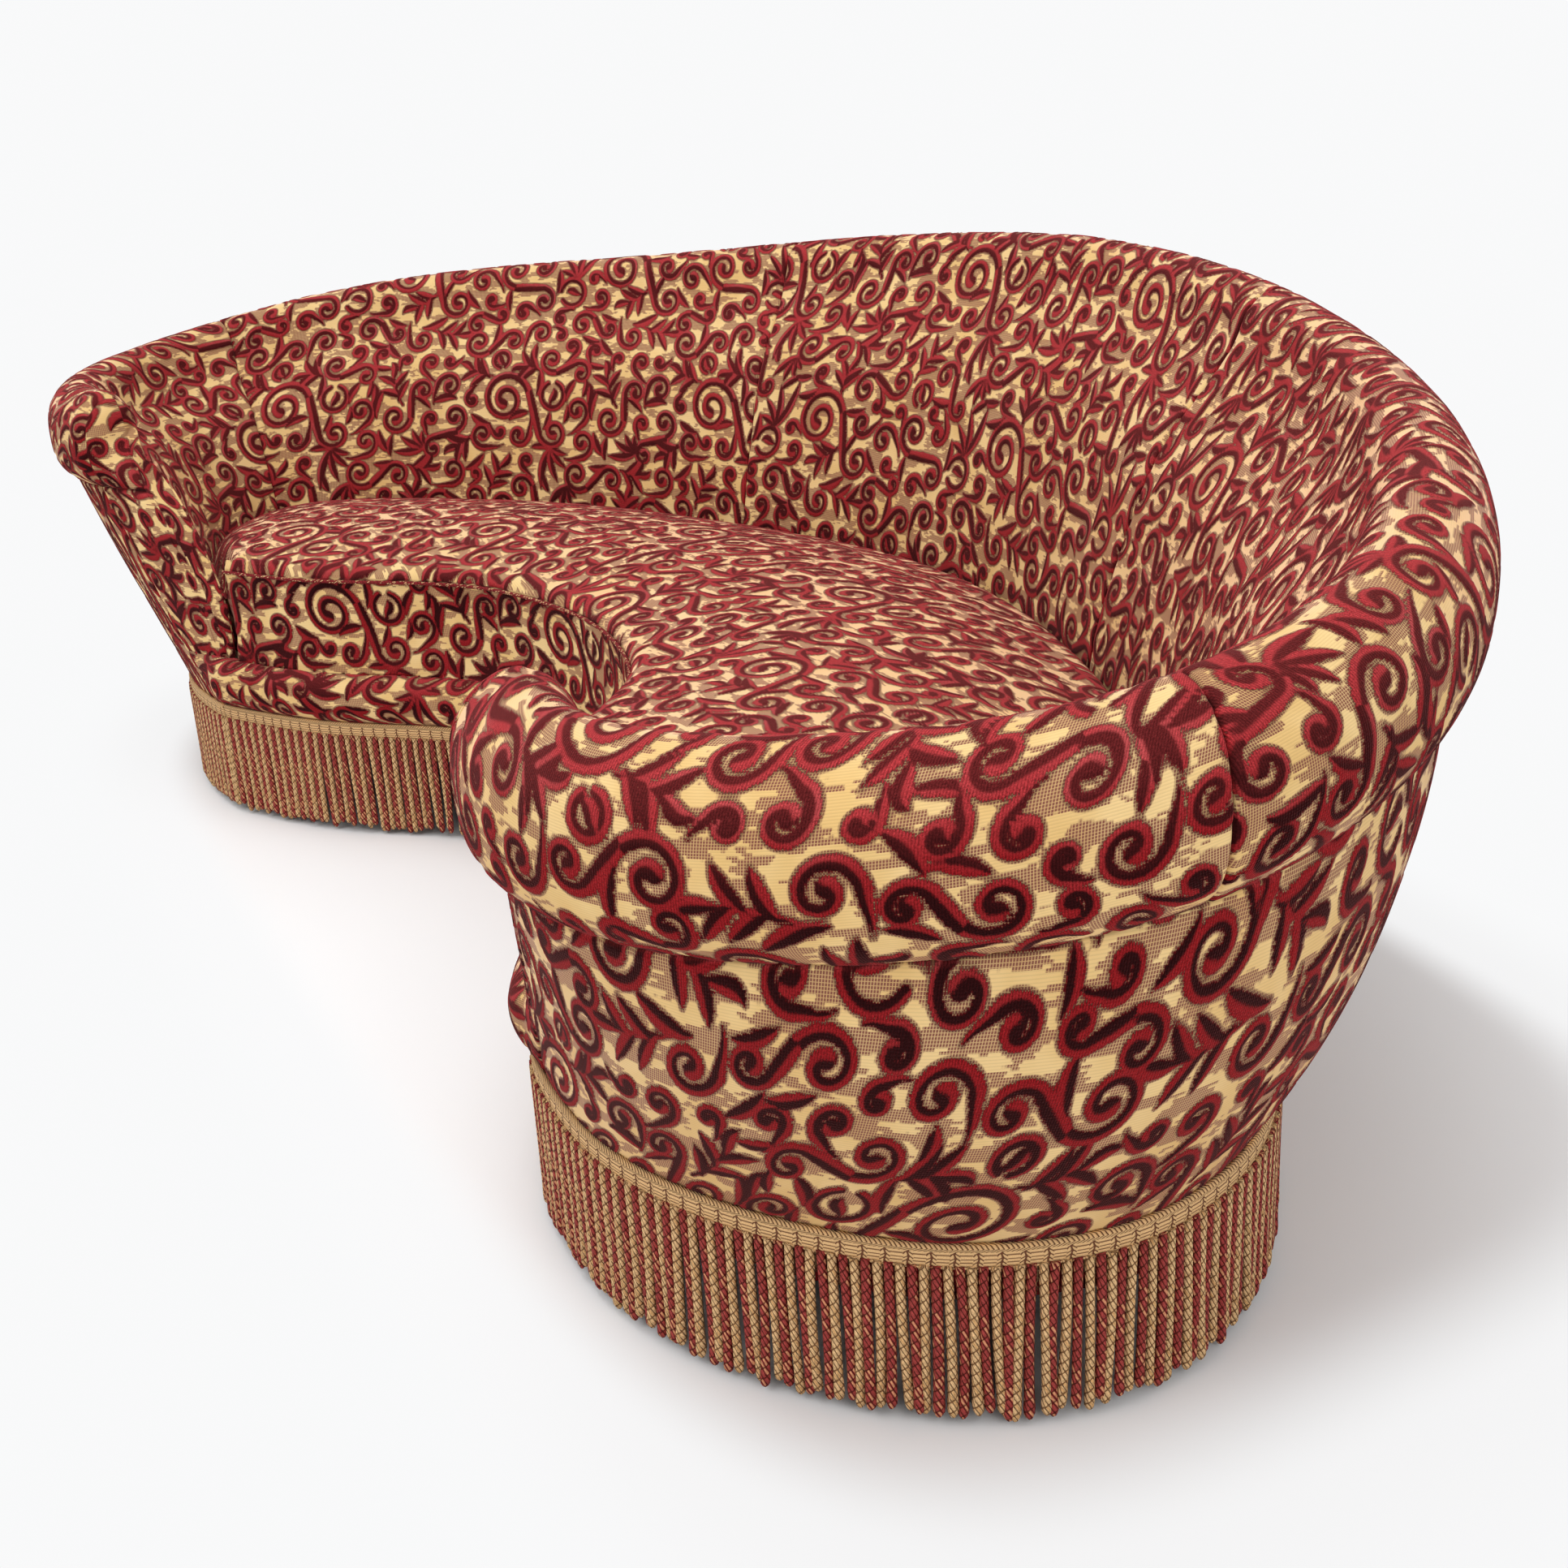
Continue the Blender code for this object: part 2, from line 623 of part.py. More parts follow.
def drawn_in(fronts, backs, front_inset, back_inset):
    """The rows' ends moved inside the outline they make, square to it."""
    loop = np.concatenate([fronts, backs[::-1]])
    insets = np.array([front_inset] * len(fronts) + [back_inset] * len(backs))
    before = loop - np.roll(loop, 1, axis=0)
    after = np.roll(loop, -1, axis=0) - loop
    before /= np.linalg.norm(before, axis=1)[:, None]
    after /= np.linalg.norm(after, axis=1)[:, None]
    normal = np.stack([-(before + after)[:, 1], (before + after)[:, 0]], axis=1)
    normal /= np.linalg.norm(normal, axis=1)[:, None]
    mitre = 1 / np.maximum(MITRE_LIMIT_share, normal[:, 0] * -before[:, 1] + normal[:, 1] * before[:, 0])
    moved = loop + normal * (insets * mitre)[:, None]
    return moved[:len(fronts)], moved[len(fronts):][::-1]


CROWN_shares = (0.0, 0.06, 0.17, 0.33, 0.5, 0.67, 0.83, 0.94, 1.0)


def cushion_mesh(name, inset, floor, trim=0):
    """A cushion of the seat's outline: boxed sides, drawn in, and a crowned top.

    A trim leaves out that many rows at each tip.
    """
    shares = np.linspace(-1, 1, CUSHION_ROWS)[trim:CUSHION_ROWS - trim]
    edges = [edge[trim:CUSHION_ROWS - trim] for edge in seat_rows(CUSHION_ROWS)]
    outer = drawn_in(*edges, CUSHION_FRONT_INSET + inset, CUSHION_BACK_GAP + inset)
    waist = drawn_in(*edges, CUSHION_FRONT_INSET + inset + BOXING_DRAW,
                     CUSHION_BACK_GAP + inset + BOXING_DRAW)
    corner = drawn_in(*edges, CUSHION_FRONT_INSET + inset + CUSHION_CORNER * CORNER_DRAW_share,
                      CUSHION_BACK_GAP + inset + CUSHION_CORNER * CORNER_DRAW_share)
    top = CUSHION_BOTTOM + BOXING_HEIGHT - inset
    welt = top - CUSHION_CORNER
    rear_welt = welt - CUSHION_REAR_FALL
    sections = []
    for i, share in enumerate(shares):
        fade = 1 - abs(share) ** CROWN_END_FADE_share
        loop = [at_level(outer[0][i], floor), at_level(waist[0][i], (floor + welt) / 2),
                at_level(outer[0][i], welt)]
        for s in CROWN_shares:
            crown = CROWN_HEIGHT * fade * math.sin(math.pi * s) ** CROWN_ROUND_share
            z = top - CUSHION_REAR_FALL * s ** REAR_FALL_CURVE_share + crown
            loop.append(at_level(corner[0][i] * (1 - s) + corner[1][i] * s, z))
        loop += [at_level(outer[1][i], rear_welt), at_level(waist[1][i], (floor + rear_welt) / 2),
                 at_level(outer[1][i], floor)]
        sections.append(loop)
    return loft(name, sections, split=len(sections[0]) // 2 + 1)


def as_cutter(obj):
    obj.hide_render = True
    obj.display_type = "WIRE"


def cut(obj, cutter):
    mod = obj.modifiers.new(cutter.name, "BOOLEAN")
    mod.operation = "DIFFERENCE"
    mod.solver = "EXACT"
    mod.object = cutter


def cushion(collection, cutters, velvet, foam):
    """The cover is a thin case with a zip opening at the back; the core fills it."""
    inner_floor = CUSHION_BOTTOM + CASE_THICKNESS
    case = new_object("cushion_cover", cushion_mesh("cushion_cover", 0, CUSHION_BOTTOM), velvet,
                      collection)
    hollow = new_object("cushion_hollow",
                        cushion_mesh("cushion_hollow", CASE_THICKNESS, inner_floor), velvet,
                        cutters)
    bm = bmesh.new()
    bmesh.ops.create_cube(bm, size=1.0)
    bmesh.ops.scale(bm, vec=(ZIP_LENGTH, ZIP_DEPTH, ZIP_HEIGHT), verts=bm.verts)
    mesh = bpy.data.meshes.new("zip_opening")
    bm.to_mesh(mesh)
    bm.free()
    slot = new_object("zip_opening", mesh, velvet, cutters)
    slot.location = (0, SEAT_BACK_Y - CUSHION_BACK_GAP, CUSHION_BOTTOM
                     + BOXING_HEIGHT * ZIP_RISE_share)
    for cutter in (hollow, slot):
        as_cutter(cutter)
        cut(case, cutter)
    new_object("cushion_core",
               cushion_mesh("cushion_core", CASE_THICKNESS + CORE_CLEARANCE,
                            inner_floor + CORE_CLEARANCE, 1), foam, collection)


def piping(collection, velvet):
    """Thin cord sewn round the cushion's top edge."""
    away = PIPING_RADIUS + GAP
    edges = seat_rows(CUSHION_ROWS)
    fronts, backs = drawn_in(*edges, CUSHION_FRONT_INSET - away, CUSHION_BACK_GAP - away)
    welt = CUSHION_BOTTOM + BOXING_HEIGHT - CUSHION_CORNER
    line = [at_level(p, welt) for p in fronts]
    line += [at_level(p, welt - CUSHION_REAR_FALL) for p in backs[::-1]]
    curve = bpy.data.curves.new("cushion_piping", "CURVE")
    curve.dimensions = "3D"
    curve.bevel_depth = PIPING_RADIUS
    curve.bevel_resolution = 1
    spline = curve.splines.new("POLY")
    spline.points.add(len(line) - 1)
    for point, place in zip(spline.points, line):
        point.co = (*place, 1)
    spline.use_cyclic_u = True
    obj = bpy.data.objects.new("cushion_piping", curve)
    collection.objects.link(obj)
    curve.materials.append(velvet)


# Upholstery

INSIDE_PANELS = {
    "inside_left_arm": (-LAST, -ARM_SEAM_STATION),
    "inside_left_back": (-ARM_SEAM_STATION, -BACK_SEAM_STATION),
    "inside_centre_back": (-BACK_SEAM_STATION, BACK_SEAM_STATION),
    "inside_right_back": (BACK_SEAM_STATION, ARM_SEAM_STATION),
    "inside_right_arm": (ARM_SEAM_STATION, LAST),
}
OUTSIDE_PANELS = {
    "outside_left_arm": (-LAST, -OUTSIDE_SEAM_STATION),
    "outside_back": (-OUTSIDE_SEAM_STATION, OUTSIDE_SEAM_STATION),
    "outside_right_arm": (OUTSIDE_SEAM_STATION, LAST),
}


def inside_panels(collection, velvet):
    """The arms' panels run on round the rounded arm fronts."""
    for name, (start, end) in INSIDE_PANELS.items():
        first = start if start == -LAST else start + in_stations(start, SEAM_GAP / 2)
        last = end if end == LAST else end - in_stations(end, SEAM_GAP / 2)
        sections = [on_steps(inside_section, place) for place in stops(first, last)]
        if start == -LAST:
            sections = nose_sections(-1)[::-1] + sections
        if end == LAST:
            sections = sections + nose_sections(1)
        skin_count = len(roll_points(start)) + len(face_points(start, PAD_BOTTOM))
        new_object(name, loft(name, sections, split=skin_count), velvet, collection)


def outside_panels(collection, velvet):
    for name, (start, end) in OUTSIDE_PANELS.items():
        first = start + in_stations(start, NOSE_SEAM if start == -LAST else SEAM_GAP / 2)
        last = end - in_stations(end, NOSE_SEAM if end == LAST else SEAM_GAP / 2)
        sections = [on_steps(outside_section, place) for place in stops(first, last)]
        half = len(sections[0]) // 2
        new_object(name, loft(name, sections, split=half), velvet, collection)


def border_section(place, anchor, bulge, depth):
    rise = BORDER_TOP - HEADING_TOP
    inner = -RAIL_INSET + GAP
    shape = [(0.0, COVER_BOTTOM)]
    shape += [(bulge * out, HEADING_TOP + rise * up)
              for out, up in zip(BORDER_OUT_shares, BORDER_RISE_shares)]
    shape += [(-depth, BORDER_TOP), (-depth, PAD_BOTTOM), (inner, PAD_BOTTOM),
              (inner, HEADING_TOP), (inner, COVER_BOTTOM)]
    return [at_level(anchor(place, out, z), z) for out, z in shape]


def border(collection, velvet):
    """The padded roll along the front rail, between the cushion and the fringe."""
    def beside(place, out, z):
        return base_side(place, out)

    def panel_end(place, out, z):
        """Beside the slanting end of the arm's outside panel."""
        side = 1 if place < BASE_COUNT / 2 else -1
        top = panel_point(side * LAST, 0)[2]
        share = min(1.0, (top - z) / (top - HEADING_TOP))
        edge = panel_point(side * LAST, share)[:2]
        return edge + BASE.across(place) * out + BASE.ahead(place)[:2] * side * NOSE_SEAM

    margin = in_stations(LAST, NOSE_SEAM)
    first = LAST + margin
    last = BASE_COUNT - LAST - margin
    sections = []
    for place in stops(first, last):
        if place in (first, last):
            sections.append(border_section(place, panel_end, 0.0, BORDER_DEPTH_AT_ARM))
            continue
        fade = min(1.0, (place - LAST) / BORDER_FADE_STATIONS,
                   (BASE_COUNT - LAST - place) / BORDER_FADE_STATIONS)
        bulge = BORDER_BULGE * math.sin(math.pi / 2 * fade)
        near_arm = min(place, BASE_COUNT - place) < LAST + BORDER_NARROW_STATIONS
        depth = BORDER_DEPTH_AT_ARM if near_arm else BORDER_DEPTH
        sections.append(border_section(place, beside, bulge, depth))
    new_object("deck_border", loft("deck_border", sections, split=6), velvet, collection)


# Fringe

FRINGE_RUNS = {
    "front": (FRINGE_CORNER, FRINGE_CORNER_LEFT),
    "left": (FRINGE_CORNER_LEFT, BASE_COUNT - OUTSIDE_SEAM_STATION),
    "back": (-OUTSIDE_SEAM_STATION, OUTSIDE_SEAM_STATION),
    "right": (OUTSIDE_SEAM_STATION, FRINGE_CORNER),
}


def band(name, start, end, outer, low, high, mat, collection):
    sections = []
    margin = in_stations(LAST, RUN_GAP / 2)
    for place in stops(start + margin, end - margin):
        a = base_side(place, FRINGE_GAP)
        b = base_side(place, outer)
        sections.append([at_level(a, low), at_level(b, low), at_level(b, high),
                         at_level(a, high)])
    new_object(name, loft(name, sections), mat, collection)


def fringe(collection, gold, cords):
    low = HEADING_TOP - HEADING_HEIGHT
    for side, (start, end) in FRINGE_RUNS.items():
        band("fringe_heading_" + side, start, end, FRINGE_GAP + HEADING_THICKNESS, low, HEADING_TOP,
             gold, collection)
        band("fringe_cords_" + side, start, end, FRINGE_GAP + SKIRT_THICKNESS,
             FRINGE_CLEARANCE, low - GAP, cords, collection)


def build():
    for obj in list(bpy.data.objects):
        bpy.data.objects.remove(obj)
    parts = bpy.data.collections.new("curved_sofa")
    cutters = bpy.data.collections.new("cutters")
    for group in (parts, cutters):
        bpy.context.scene.collection.children.link(group)
    velvet = material("cut_velvet", VELVET, 0.85)
    gold = material("gold_braid", GOLD, 0.7)
    cords = material("bullion_cords", FRINGE, 0.7)
    wood = material("beech", BEECH, 0.55)
    foam = material("foam", FOAM, 0.95)
    webbing = material("jute_webbing", JUTE, 0.9)
    cloth = material("black_cambric", BLACK_CLOTH, 0.9)
    nylon = material("nylon", NYLON, 0.4)

    feet(parts, wood, nylon)
    margin = in_stations(LAST, RUN_GAP / 2)
    rail("front_rail", FRONT_START + margin, FRONT_END - margin, parts, wood)
    rail("back_rail", FRONT_END - BASE_COUNT + margin, FRONT_START - margin, parts, wood)
    for i, share in enumerate(STRETCHER_PLACE_shares):
        cross_piece("cross_rail_%d" % (i + 1), share, STRETCHER_WIDTH,
                    -RAIL_INSET - RAIL_THICKNESS, STRETCHER_CLEARANCE, FOOT_TOP + GAP,
                    FOOT_TOP + GAP + STRETCHER_HEIGHT, wood, parts)
    top_rail(parts, wood)
    for name, place in zip(POST_NAMES, POST_STATIONS):
        post(name, place, parts, wood)
    for i, share in enumerate(STRAP_PLACE_shares):
        cross_piece("webbing_strap_%d" % (i + 1), share, STRAP_WIDTH, -PAD_ON_RAIL_INSET,
                    STRETCHER_CLEARANCE, STRAP_BOTTOM, STRAP_BOTTOM + STRAP_THICKNESS, webbing,
                    parts)
    round_base = stops(-LAST, BASE_COUNT - LAST - 1 / STEPS_PER_STATION)
    slab("burlap", [base_side(p, -PAD_ON_RAIL_INSET) for p in round_base], BURLAP_BOTTOM,
         BURLAP_BOTTOM + BURLAP_THICKNESS, webbing, parts)
    deck = [base_side(p, -BORDER_DEPTH - DECK_CLEARANCE)
            for p in stops(FRONT_START + DECK_FRONT_STATIONS, FRONT_END - DECK_FRONT_STATIONS)]
    end = LAST - DECK_END_STATIONS
    deck += [seat_side(p, DECK_CLEARANCE) for p in stops(-end, end)]
    slab("deck_pad", deck, PAD_BOTTOM, DECK_TOP, foam, parts)
    under = -RAIL_INSET - RAIL_THICKNESS + POST_CLEARANCE
    slab("dust_cover", [base_side(p, under) for p in round_base],
         FOOT_TOP - BURLAP_THICKNESS, FOOT_TOP, cloth, parts)
    inside_panels(parts, velvet)
    outside_panels(parts, velvet)
    border(parts, velvet)
    cushion(parts, cutters, velvet, foam)
    piping(parts, velvet)
    fringe(parts, gold, cords)


build()
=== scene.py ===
"""A curved sofa in cut velvet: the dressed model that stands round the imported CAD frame.

The sections follow the making: frame, webbing and deck, covers, cushion, fringe, studio.
"""
import math

import bmesh
import bpy
import numpy as np
from mathutils import Matrix


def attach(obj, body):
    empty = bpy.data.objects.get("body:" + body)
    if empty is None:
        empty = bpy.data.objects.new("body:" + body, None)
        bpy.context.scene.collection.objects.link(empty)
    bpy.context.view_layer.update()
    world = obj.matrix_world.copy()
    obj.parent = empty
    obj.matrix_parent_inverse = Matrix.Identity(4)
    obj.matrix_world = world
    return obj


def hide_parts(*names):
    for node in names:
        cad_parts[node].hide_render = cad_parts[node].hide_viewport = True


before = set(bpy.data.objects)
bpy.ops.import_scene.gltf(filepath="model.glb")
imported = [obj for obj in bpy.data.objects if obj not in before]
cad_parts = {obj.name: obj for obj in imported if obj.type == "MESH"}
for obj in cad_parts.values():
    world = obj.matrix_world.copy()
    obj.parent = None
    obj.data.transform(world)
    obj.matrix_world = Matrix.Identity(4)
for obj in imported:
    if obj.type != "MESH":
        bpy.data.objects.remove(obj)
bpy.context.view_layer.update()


# The camera stands in front of the right arm, a little above it, and looks along the crescent.
# Its place, turn and lens come from matching the rim, the base and the cushion's edges.
CAMERA_PLACE = (2.190, -1.04525, 1.0716)
CAMERA_YAW = 1.0838
CAMERA_PITCH = 0.3733
CAMERA_ROLL = 0.0577
CAMERA_LENS = 41.4

camera_data = bpy.data.cameras.new("camera")
camera_data.lens = CAMERA_LENS
camera_data.sensor_width = 36.0
camera_data.clip_start = 0.05
camera = bpy.data.objects.new("camera", camera_data)
bpy.context.scene.collection.objects.link(camera)
forward = np.array([-math.sin(CAMERA_YAW) * math.cos(CAMERA_PITCH),
                    math.cos(CAMERA_YAW) * math.cos(CAMERA_PITCH), -math.sin(CAMERA_PITCH)])
level = np.array([math.cos(CAMERA_YAW), math.sin(CAMERA_YAW), 0.0])
down = np.cross(forward, level)
right_axis = level * math.cos(CAMERA_ROLL) + down * math.sin(CAMERA_ROLL)
down_axis = down * math.cos(CAMERA_ROLL) - level * math.sin(CAMERA_ROLL)
turn = Matrix([[right_axis[i], -down_axis[i], -forward[i]] for i in range(3)]).to_4x4()
camera.matrix_world = Matrix.Translation(CAMERA_PLACE) @ turn
bpy.context.scene.camera = camera


# The hidden frame is steamed and sawn beech: bent base rails, two cross rails, eight posts and
# the top rail under the roll, glued and screwed. The seven feet are turned from the same wood.
BEECH_LIGHT = (0.52, 0.33, 0.18)
BEECH_DARK = (0.36, 0.20, 0.10)


class Value:
    """A node's output, which adds, subtracts, multiplies and divides as a number does."""

    def __init__(self, nodes, socket):
        self.nodes = nodes
        self.socket = socket


for sign, operation in (("add", "ADD"), ("sub", "SUBTRACT"), ("mul", "MULTIPLY"),
                        ("truediv", "DIVIDE"), ("pow", "POWER")):
    setattr(Value, f"__{sign}__",
            lambda a, b, operation=operation: a.nodes.math(operation, a, b))
    setattr(Value, f"__r{sign}__",
            lambda a, b, operation=operation: a.nodes.math(operation, b, a))


class Nodes:
    """Short names for the nodes of one tree."""

    def __init__(self, tree):
        self.tree = tree

    def feed(self, socket, value):
        if isinstance(value, Value):
            self.tree.links.new(value.socket, socket)
        elif value is not None:
            socket.default_value = value

    def outputs(self, kind, *inputs, **settings):
        """The outputs by name of a new node, with these values in its first inputs."""
        node = self.tree.nodes.new("ShaderNode" + kind)
        for key, value in settings.items():
            setattr(node, key, value)
        for socket, value in zip(node.inputs, inputs):
            self.feed(socket, value)
        return {socket.identifier: Value(self, socket) for socket in node.outputs}

    def value(self, kind, *inputs, **settings):
        """The first output of a new node."""
        return next(iter(self.outputs(kind, *inputs, **settings).values()))

    def math(self, operation, *values):
        return self.value("Math", *values, operation=operation)

    def between(self, value, low, high, to_low=0.0, to_high=1.0):
        """A smooth step from one value to another."""
        return self.value("MapRange", value, low, high, to_low, to_high,
                          interpolation_type="SMOOTHSTEP")

    def mix(self, share, first, second, blend="MIX"):
        colours = [(*c, 1.0) if isinstance(c, tuple) else c for c in (first, second)]
        return self.outputs("Mix", share, None, None, None, None, None, *colours,
                            data_type="RGBA", blend_type=blend)["Result_Color"]

    def darkened(self, colour, value):
        """A colour times a value."""
        return self.mix(1.0, colour, self.value("CombineColor", value, value, value), "MULTIPLY")

    def parts(self, vector):
        """The numbers of a vector."""
        return list(self.outputs("SeparateXYZ", vector).values())

    def mapped(self, vector, scale):
        return self.value("Mapping", vector, None, None, scale)

    def noise(self, vector, scale, detail=2.0, roughness=0.5, dimensions="3D"):
        return self.value("TexNoise", vector, None, scale, detail, roughness,
                          noise_dimensions=dimensions)

    def chosen(self, number):
        """A random value for each number."""
        return self.value("TexWhiteNoise", None, number, noise_dimensions="1D")

    def arch(self, value):
        """Half a wave over each whole step of the value."""
        return self.math("SINE", self.math("FRACT", value) * math.pi)

    def bump(self, height, distance, strength):
        node = self.tree.nodes.new("ShaderNodeBump")
        for name, value in (("Strength", strength), ("Distance", distance), ("Height", height)):
            self.feed(node.inputs[name], value)
        return Value(self, node.outputs[0])


class Finish(Nodes):
    """The nodes of a new material."""

    def __init__(self, name, roughness):
        self.mat = bpy.data.materials.new(name)
        self.mat.use_nodes = True
        super().__init__(self.mat.node_tree)
        self.shader = self.tree.nodes["Principled BSDF"]
        self.surface({"Roughness": roughness})

    def place(self):
        return self.outputs("TexCoord")["Object"]

    def cloth(self):
        """The place on the cloth, in metres."""
        return self.value("UVMap", uv_map="cloth")

    def surface(self, inputs):
        """Feeds the shader and returns the material."""
        for name, value in inputs.items():
            self.feed(self.shader.inputs[name], value)
        return self.mat


def beech_material(name, along):
    """Plain sawn beech: fine long grain, short darker flecks and a slight figure."""
    n = Finish(name, 0.55)
    scale = [60.0, 60.0, 60.0]
    scale[along] = 4.0
    place = n.place()
    grain = n.noise(n.mapped(place, scale), 1.0, 5.0, 0.6)
    flecks = n.noise(n.mapped(place, [s * 9 for s in scale]), 1.0)
    wood = n.mix(n.between(grain, 0.35, 0.68), BEECH_LIGHT, BEECH_DARK)
    wood = n.mix(n.between(flecks, 0.60, 0.72, 0.0, 0.55), wood, BEECH_DARK)
    return n.surface({"Base Color": wood, "Normal": n.bump(flecks, 0.0006, 0.5),
                      "Roughness": n.between(grain, 0.2, 0.8, 0.48, 0.66)})


def finish_node(name, mat):
    """A CAD node whose shape is right keeps it and gets its own finish."""
    for slot in bpy.data.objects[name].material_slots:
        slot.material = mat


beech_long = beech_material("beech_along_x", 0)
beech_deep = beech_material("beech_along_y", 1)
beech_tall = beech_material("beech_upright", 2)
for node_name in ("back_rail", "front_rail", "top_rail"):
    finish_node(node_name, beech_long)
for node_name in ("cross_rail_1", "cross_rail_2"):
    finish_node(node_name, beech_deep)
POSTS = [end + post for end in ("left_", "right_")
         for post in ("arm_stump", "arm_post", "corner_post", "back_post")]
for node_name in POSTS:
    finish_node(node_name, beech_tall)


# Jute webbing is strained from rail to rail, burlap lies over it, a cotton pad makes the deck
# and black cambric closes the underside. Seven feet stand on pressed nylon glides.
FOOT_STAIN = (0.045, 0.018, 0.010)
FOOT_WORN = (0.14, 0.065, 0.032)
JUTE_LIGHT = (0.46, 0.33, 0.19)
JUTE_DARK = (0.24, 0.15, 0.08)
WEBBING_LINE = (0.30, 0.045, 0.035)
CAMBRIC_BLACK = (0.018, 0.018, 0.020)
CAMBRIC_THREAD = (0.055, 0.055, 0.058)
NYLON_GREY = (0.055, 0.050, 0.046)
NYLON_SCUFF = tuple(c * 2.4 for c in NYLON_GREY)


def woven_material(name, light, dark, threads, roughness, depth, line=None):
    """A plain weave on object coordinates, with so many threads to the metre."""
    n = Finish(name, roughness)
    place = n.place()
    across, along = n.parts(place)[:2]
    wobble = n.noise(place, 18.0) * 0.0012
    warp, weft = (n.math("SINE", (way + wobble) * (threads * math.pi)) for way in (across, along))
    height = warp * weft
    slub = n.noise(n.mapped(place, (900, 60, 60)), 1.0)
    # The threads are painted darker where the weave is low, as shade. Slubs darken it at random.
    colour = n.mix(n.between(height, -0.8, 0.7), dark, light)
    colour = n.mix(n.between(slub, 0.35, 0.7, 0.0, 0.5), colour, dark)
    if line:
        edge = n.math("ABSOLUTE", n.math("FRACT", across * 26.0) - 0.5)
        colour = n.mix(n.between(edge, 0.40, 0.43), colour, line)
    return n.surface({"Base Color": colour, "Normal": n.bump(height + slub, depth, 0.7)})


def foot_material():
    """Dark stain over turned beech, rubbed pale at the tip and lightly ringed by the lathe."""
    n = Finish("stained_foot", 0.38)
    place = n.place()
    grain = n.noise(n.mapped(place, (160, 160, 9)), 1.0, 4.0)
    rings = n.noise(n.mapped(place, (3, 3, 700)), 1.0, 1.0)
    worn = n.between(n.parts(place)[2], 0.030, 0.006) * n.between(grain, 0.40, 0.60)
    colour = n.mix(n.between(grain, 0.35, 0.7, 0.0, 0.35), FOOT_STAIN, FOOT_WORN)
    return n.surface({"Base Color": n.mix(worn, colour, FOOT_WORN),
                      "Roughness": n.between(grain, 0.2, 0.8, 0.32, 0.50),
                      "Normal": n.bump(rings, 0.0002, 0.4)})


def nylon_material():
    """Pressed nylon, scuffed paler."""
    n = Finish("pressed_nylon", 0.35)
    scuffs = n.noise(n.mapped(n.place(), (400, 400, 60)), 1.0, 3.0)
    return n.surface({"Base Color": n.mix(n.between(scuffs, 0.5, 0.75), NYLON_GREY, NYLON_SCUFF),
                      "Roughness": n.between(scuffs, 0.3, 0.7, 0.30, 0.55)})


webbing = woven_material("jute_webbing", JUTE_LIGHT, JUTE_DARK, 420, 0.9, 0.0006, WEBBING_LINE)
burlap = woven_material("burlap", JUTE_LIGHT, JUTE_DARK, 700, 0.92, 0.0005)
cambric = woven_material("black_cambric", CAMBRIC_THREAD, CAMBRIC_BLACK, 1500, 0.9, 0.0002)
foot_stain = foot_material()
nylon = nylon_material()
for node_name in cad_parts:
    if node_name.startswith("webbing_strap"):
        finish_node(node_name, webbing)
    elif node_name.startswith("foot_"):
        finish_node(node_name, foot_stain)
    elif node_name.startswith("glide_"):
        finish_node(node_name, nylon)
finish_node("burlap", burlap)
finish_node("dust_cover", cambric)


# The covers are cut velvet: burgundy pile in scrolls, curls, sprays and leaves on a gold satin
# ground. The repeat is a general one, drawn here on a grid of small cells from S-scrolls, and
# each wide gap is then filled with a curl, a spray, a ring, a fan of fronds or a leaf.
REPEAT_WIDTH, REPEAT_HEIGHT = 384, 432
REPEAT_CELL = 0.00115
STROKE_REACH = 34
WIDEST_GROUND = 10.6
# Both ends of each S-scroll, with their reach, and the way that they wind
SCROLLS = (
    ((94, 112, 44), (182, 62, 26), 1), ((286, 328, 44), (374, 278, 26), 1),
    ((34, 214, 27), (98, 208, 21), -1), ((228, 424, 27), (290, 424, 20), -1),
    ((168, 160, 24), (232, 176, 24), 1), ((366, 392, 23), (420, 370, 20), -1),
    ((284, 112, 29), (336, 60, 22), -1), ((92, 300, 27), (140, 342, 20), -1),
    ((316, 190, 22), (362, 152, 17), 1), ((196, 300, 23), (160, 250, 18), 1),
    ((28, 20, 23), (78, 14, 17), 1), ((220, 22, 20), (262, 40, 14), 1))
FILLINGS = ("curl", "spray", "curl", "ring", "curl", "fan", "curl", "spray", "curl")

pile_depth = np.full((REPEAT_HEIGHT, REPEAT_WIDTH), -float(STROKE_REACH))
pile_side = np.zeros((REPEAT_HEIGHT, REPEAT_WIDTH))


def stroke(points, radii, hand):
    """A tapering line of pile; its dark core lies to one hand of it, or with 0 it has none."""
    for (ax, ay), (bx, by), ra, rb in zip(points, points[1:], radii, radii[1:]):
        i, j = (np.arange(math.floor(min(ends) - STROKE_REACH),
                          math.ceil(max(ends) + STROKE_REACH)) for ends in ((ax, bx), (ay, by)))
        x = i - ax
        y = (j - ay)[:, None]
        lx = bx - ax
        ly = by - ay
        length = math.hypot(lx, ly) + 1e-6
        t = np.clip((x * lx + y * ly) / length**2, 0, 1)
        radius = ra + (rb - ra) * t
        depth = radius - np.hypot(x - lx * t, y - ly * t)
        side = hand * (lx * y - ly * x) / length / np.maximum(radius, 1.0) - (hand == 0)
        cells = np.ix_(j % REPEAT_HEIGHT, i % REPEAT_WIDTH)
        nearer = depth > pile_depth[cells]
        pile_depth[cells] = np.where(nearer, depth, pile_depth[cells])
        pile_side[cells] = np.where(nearer, side, pile_side[cells])


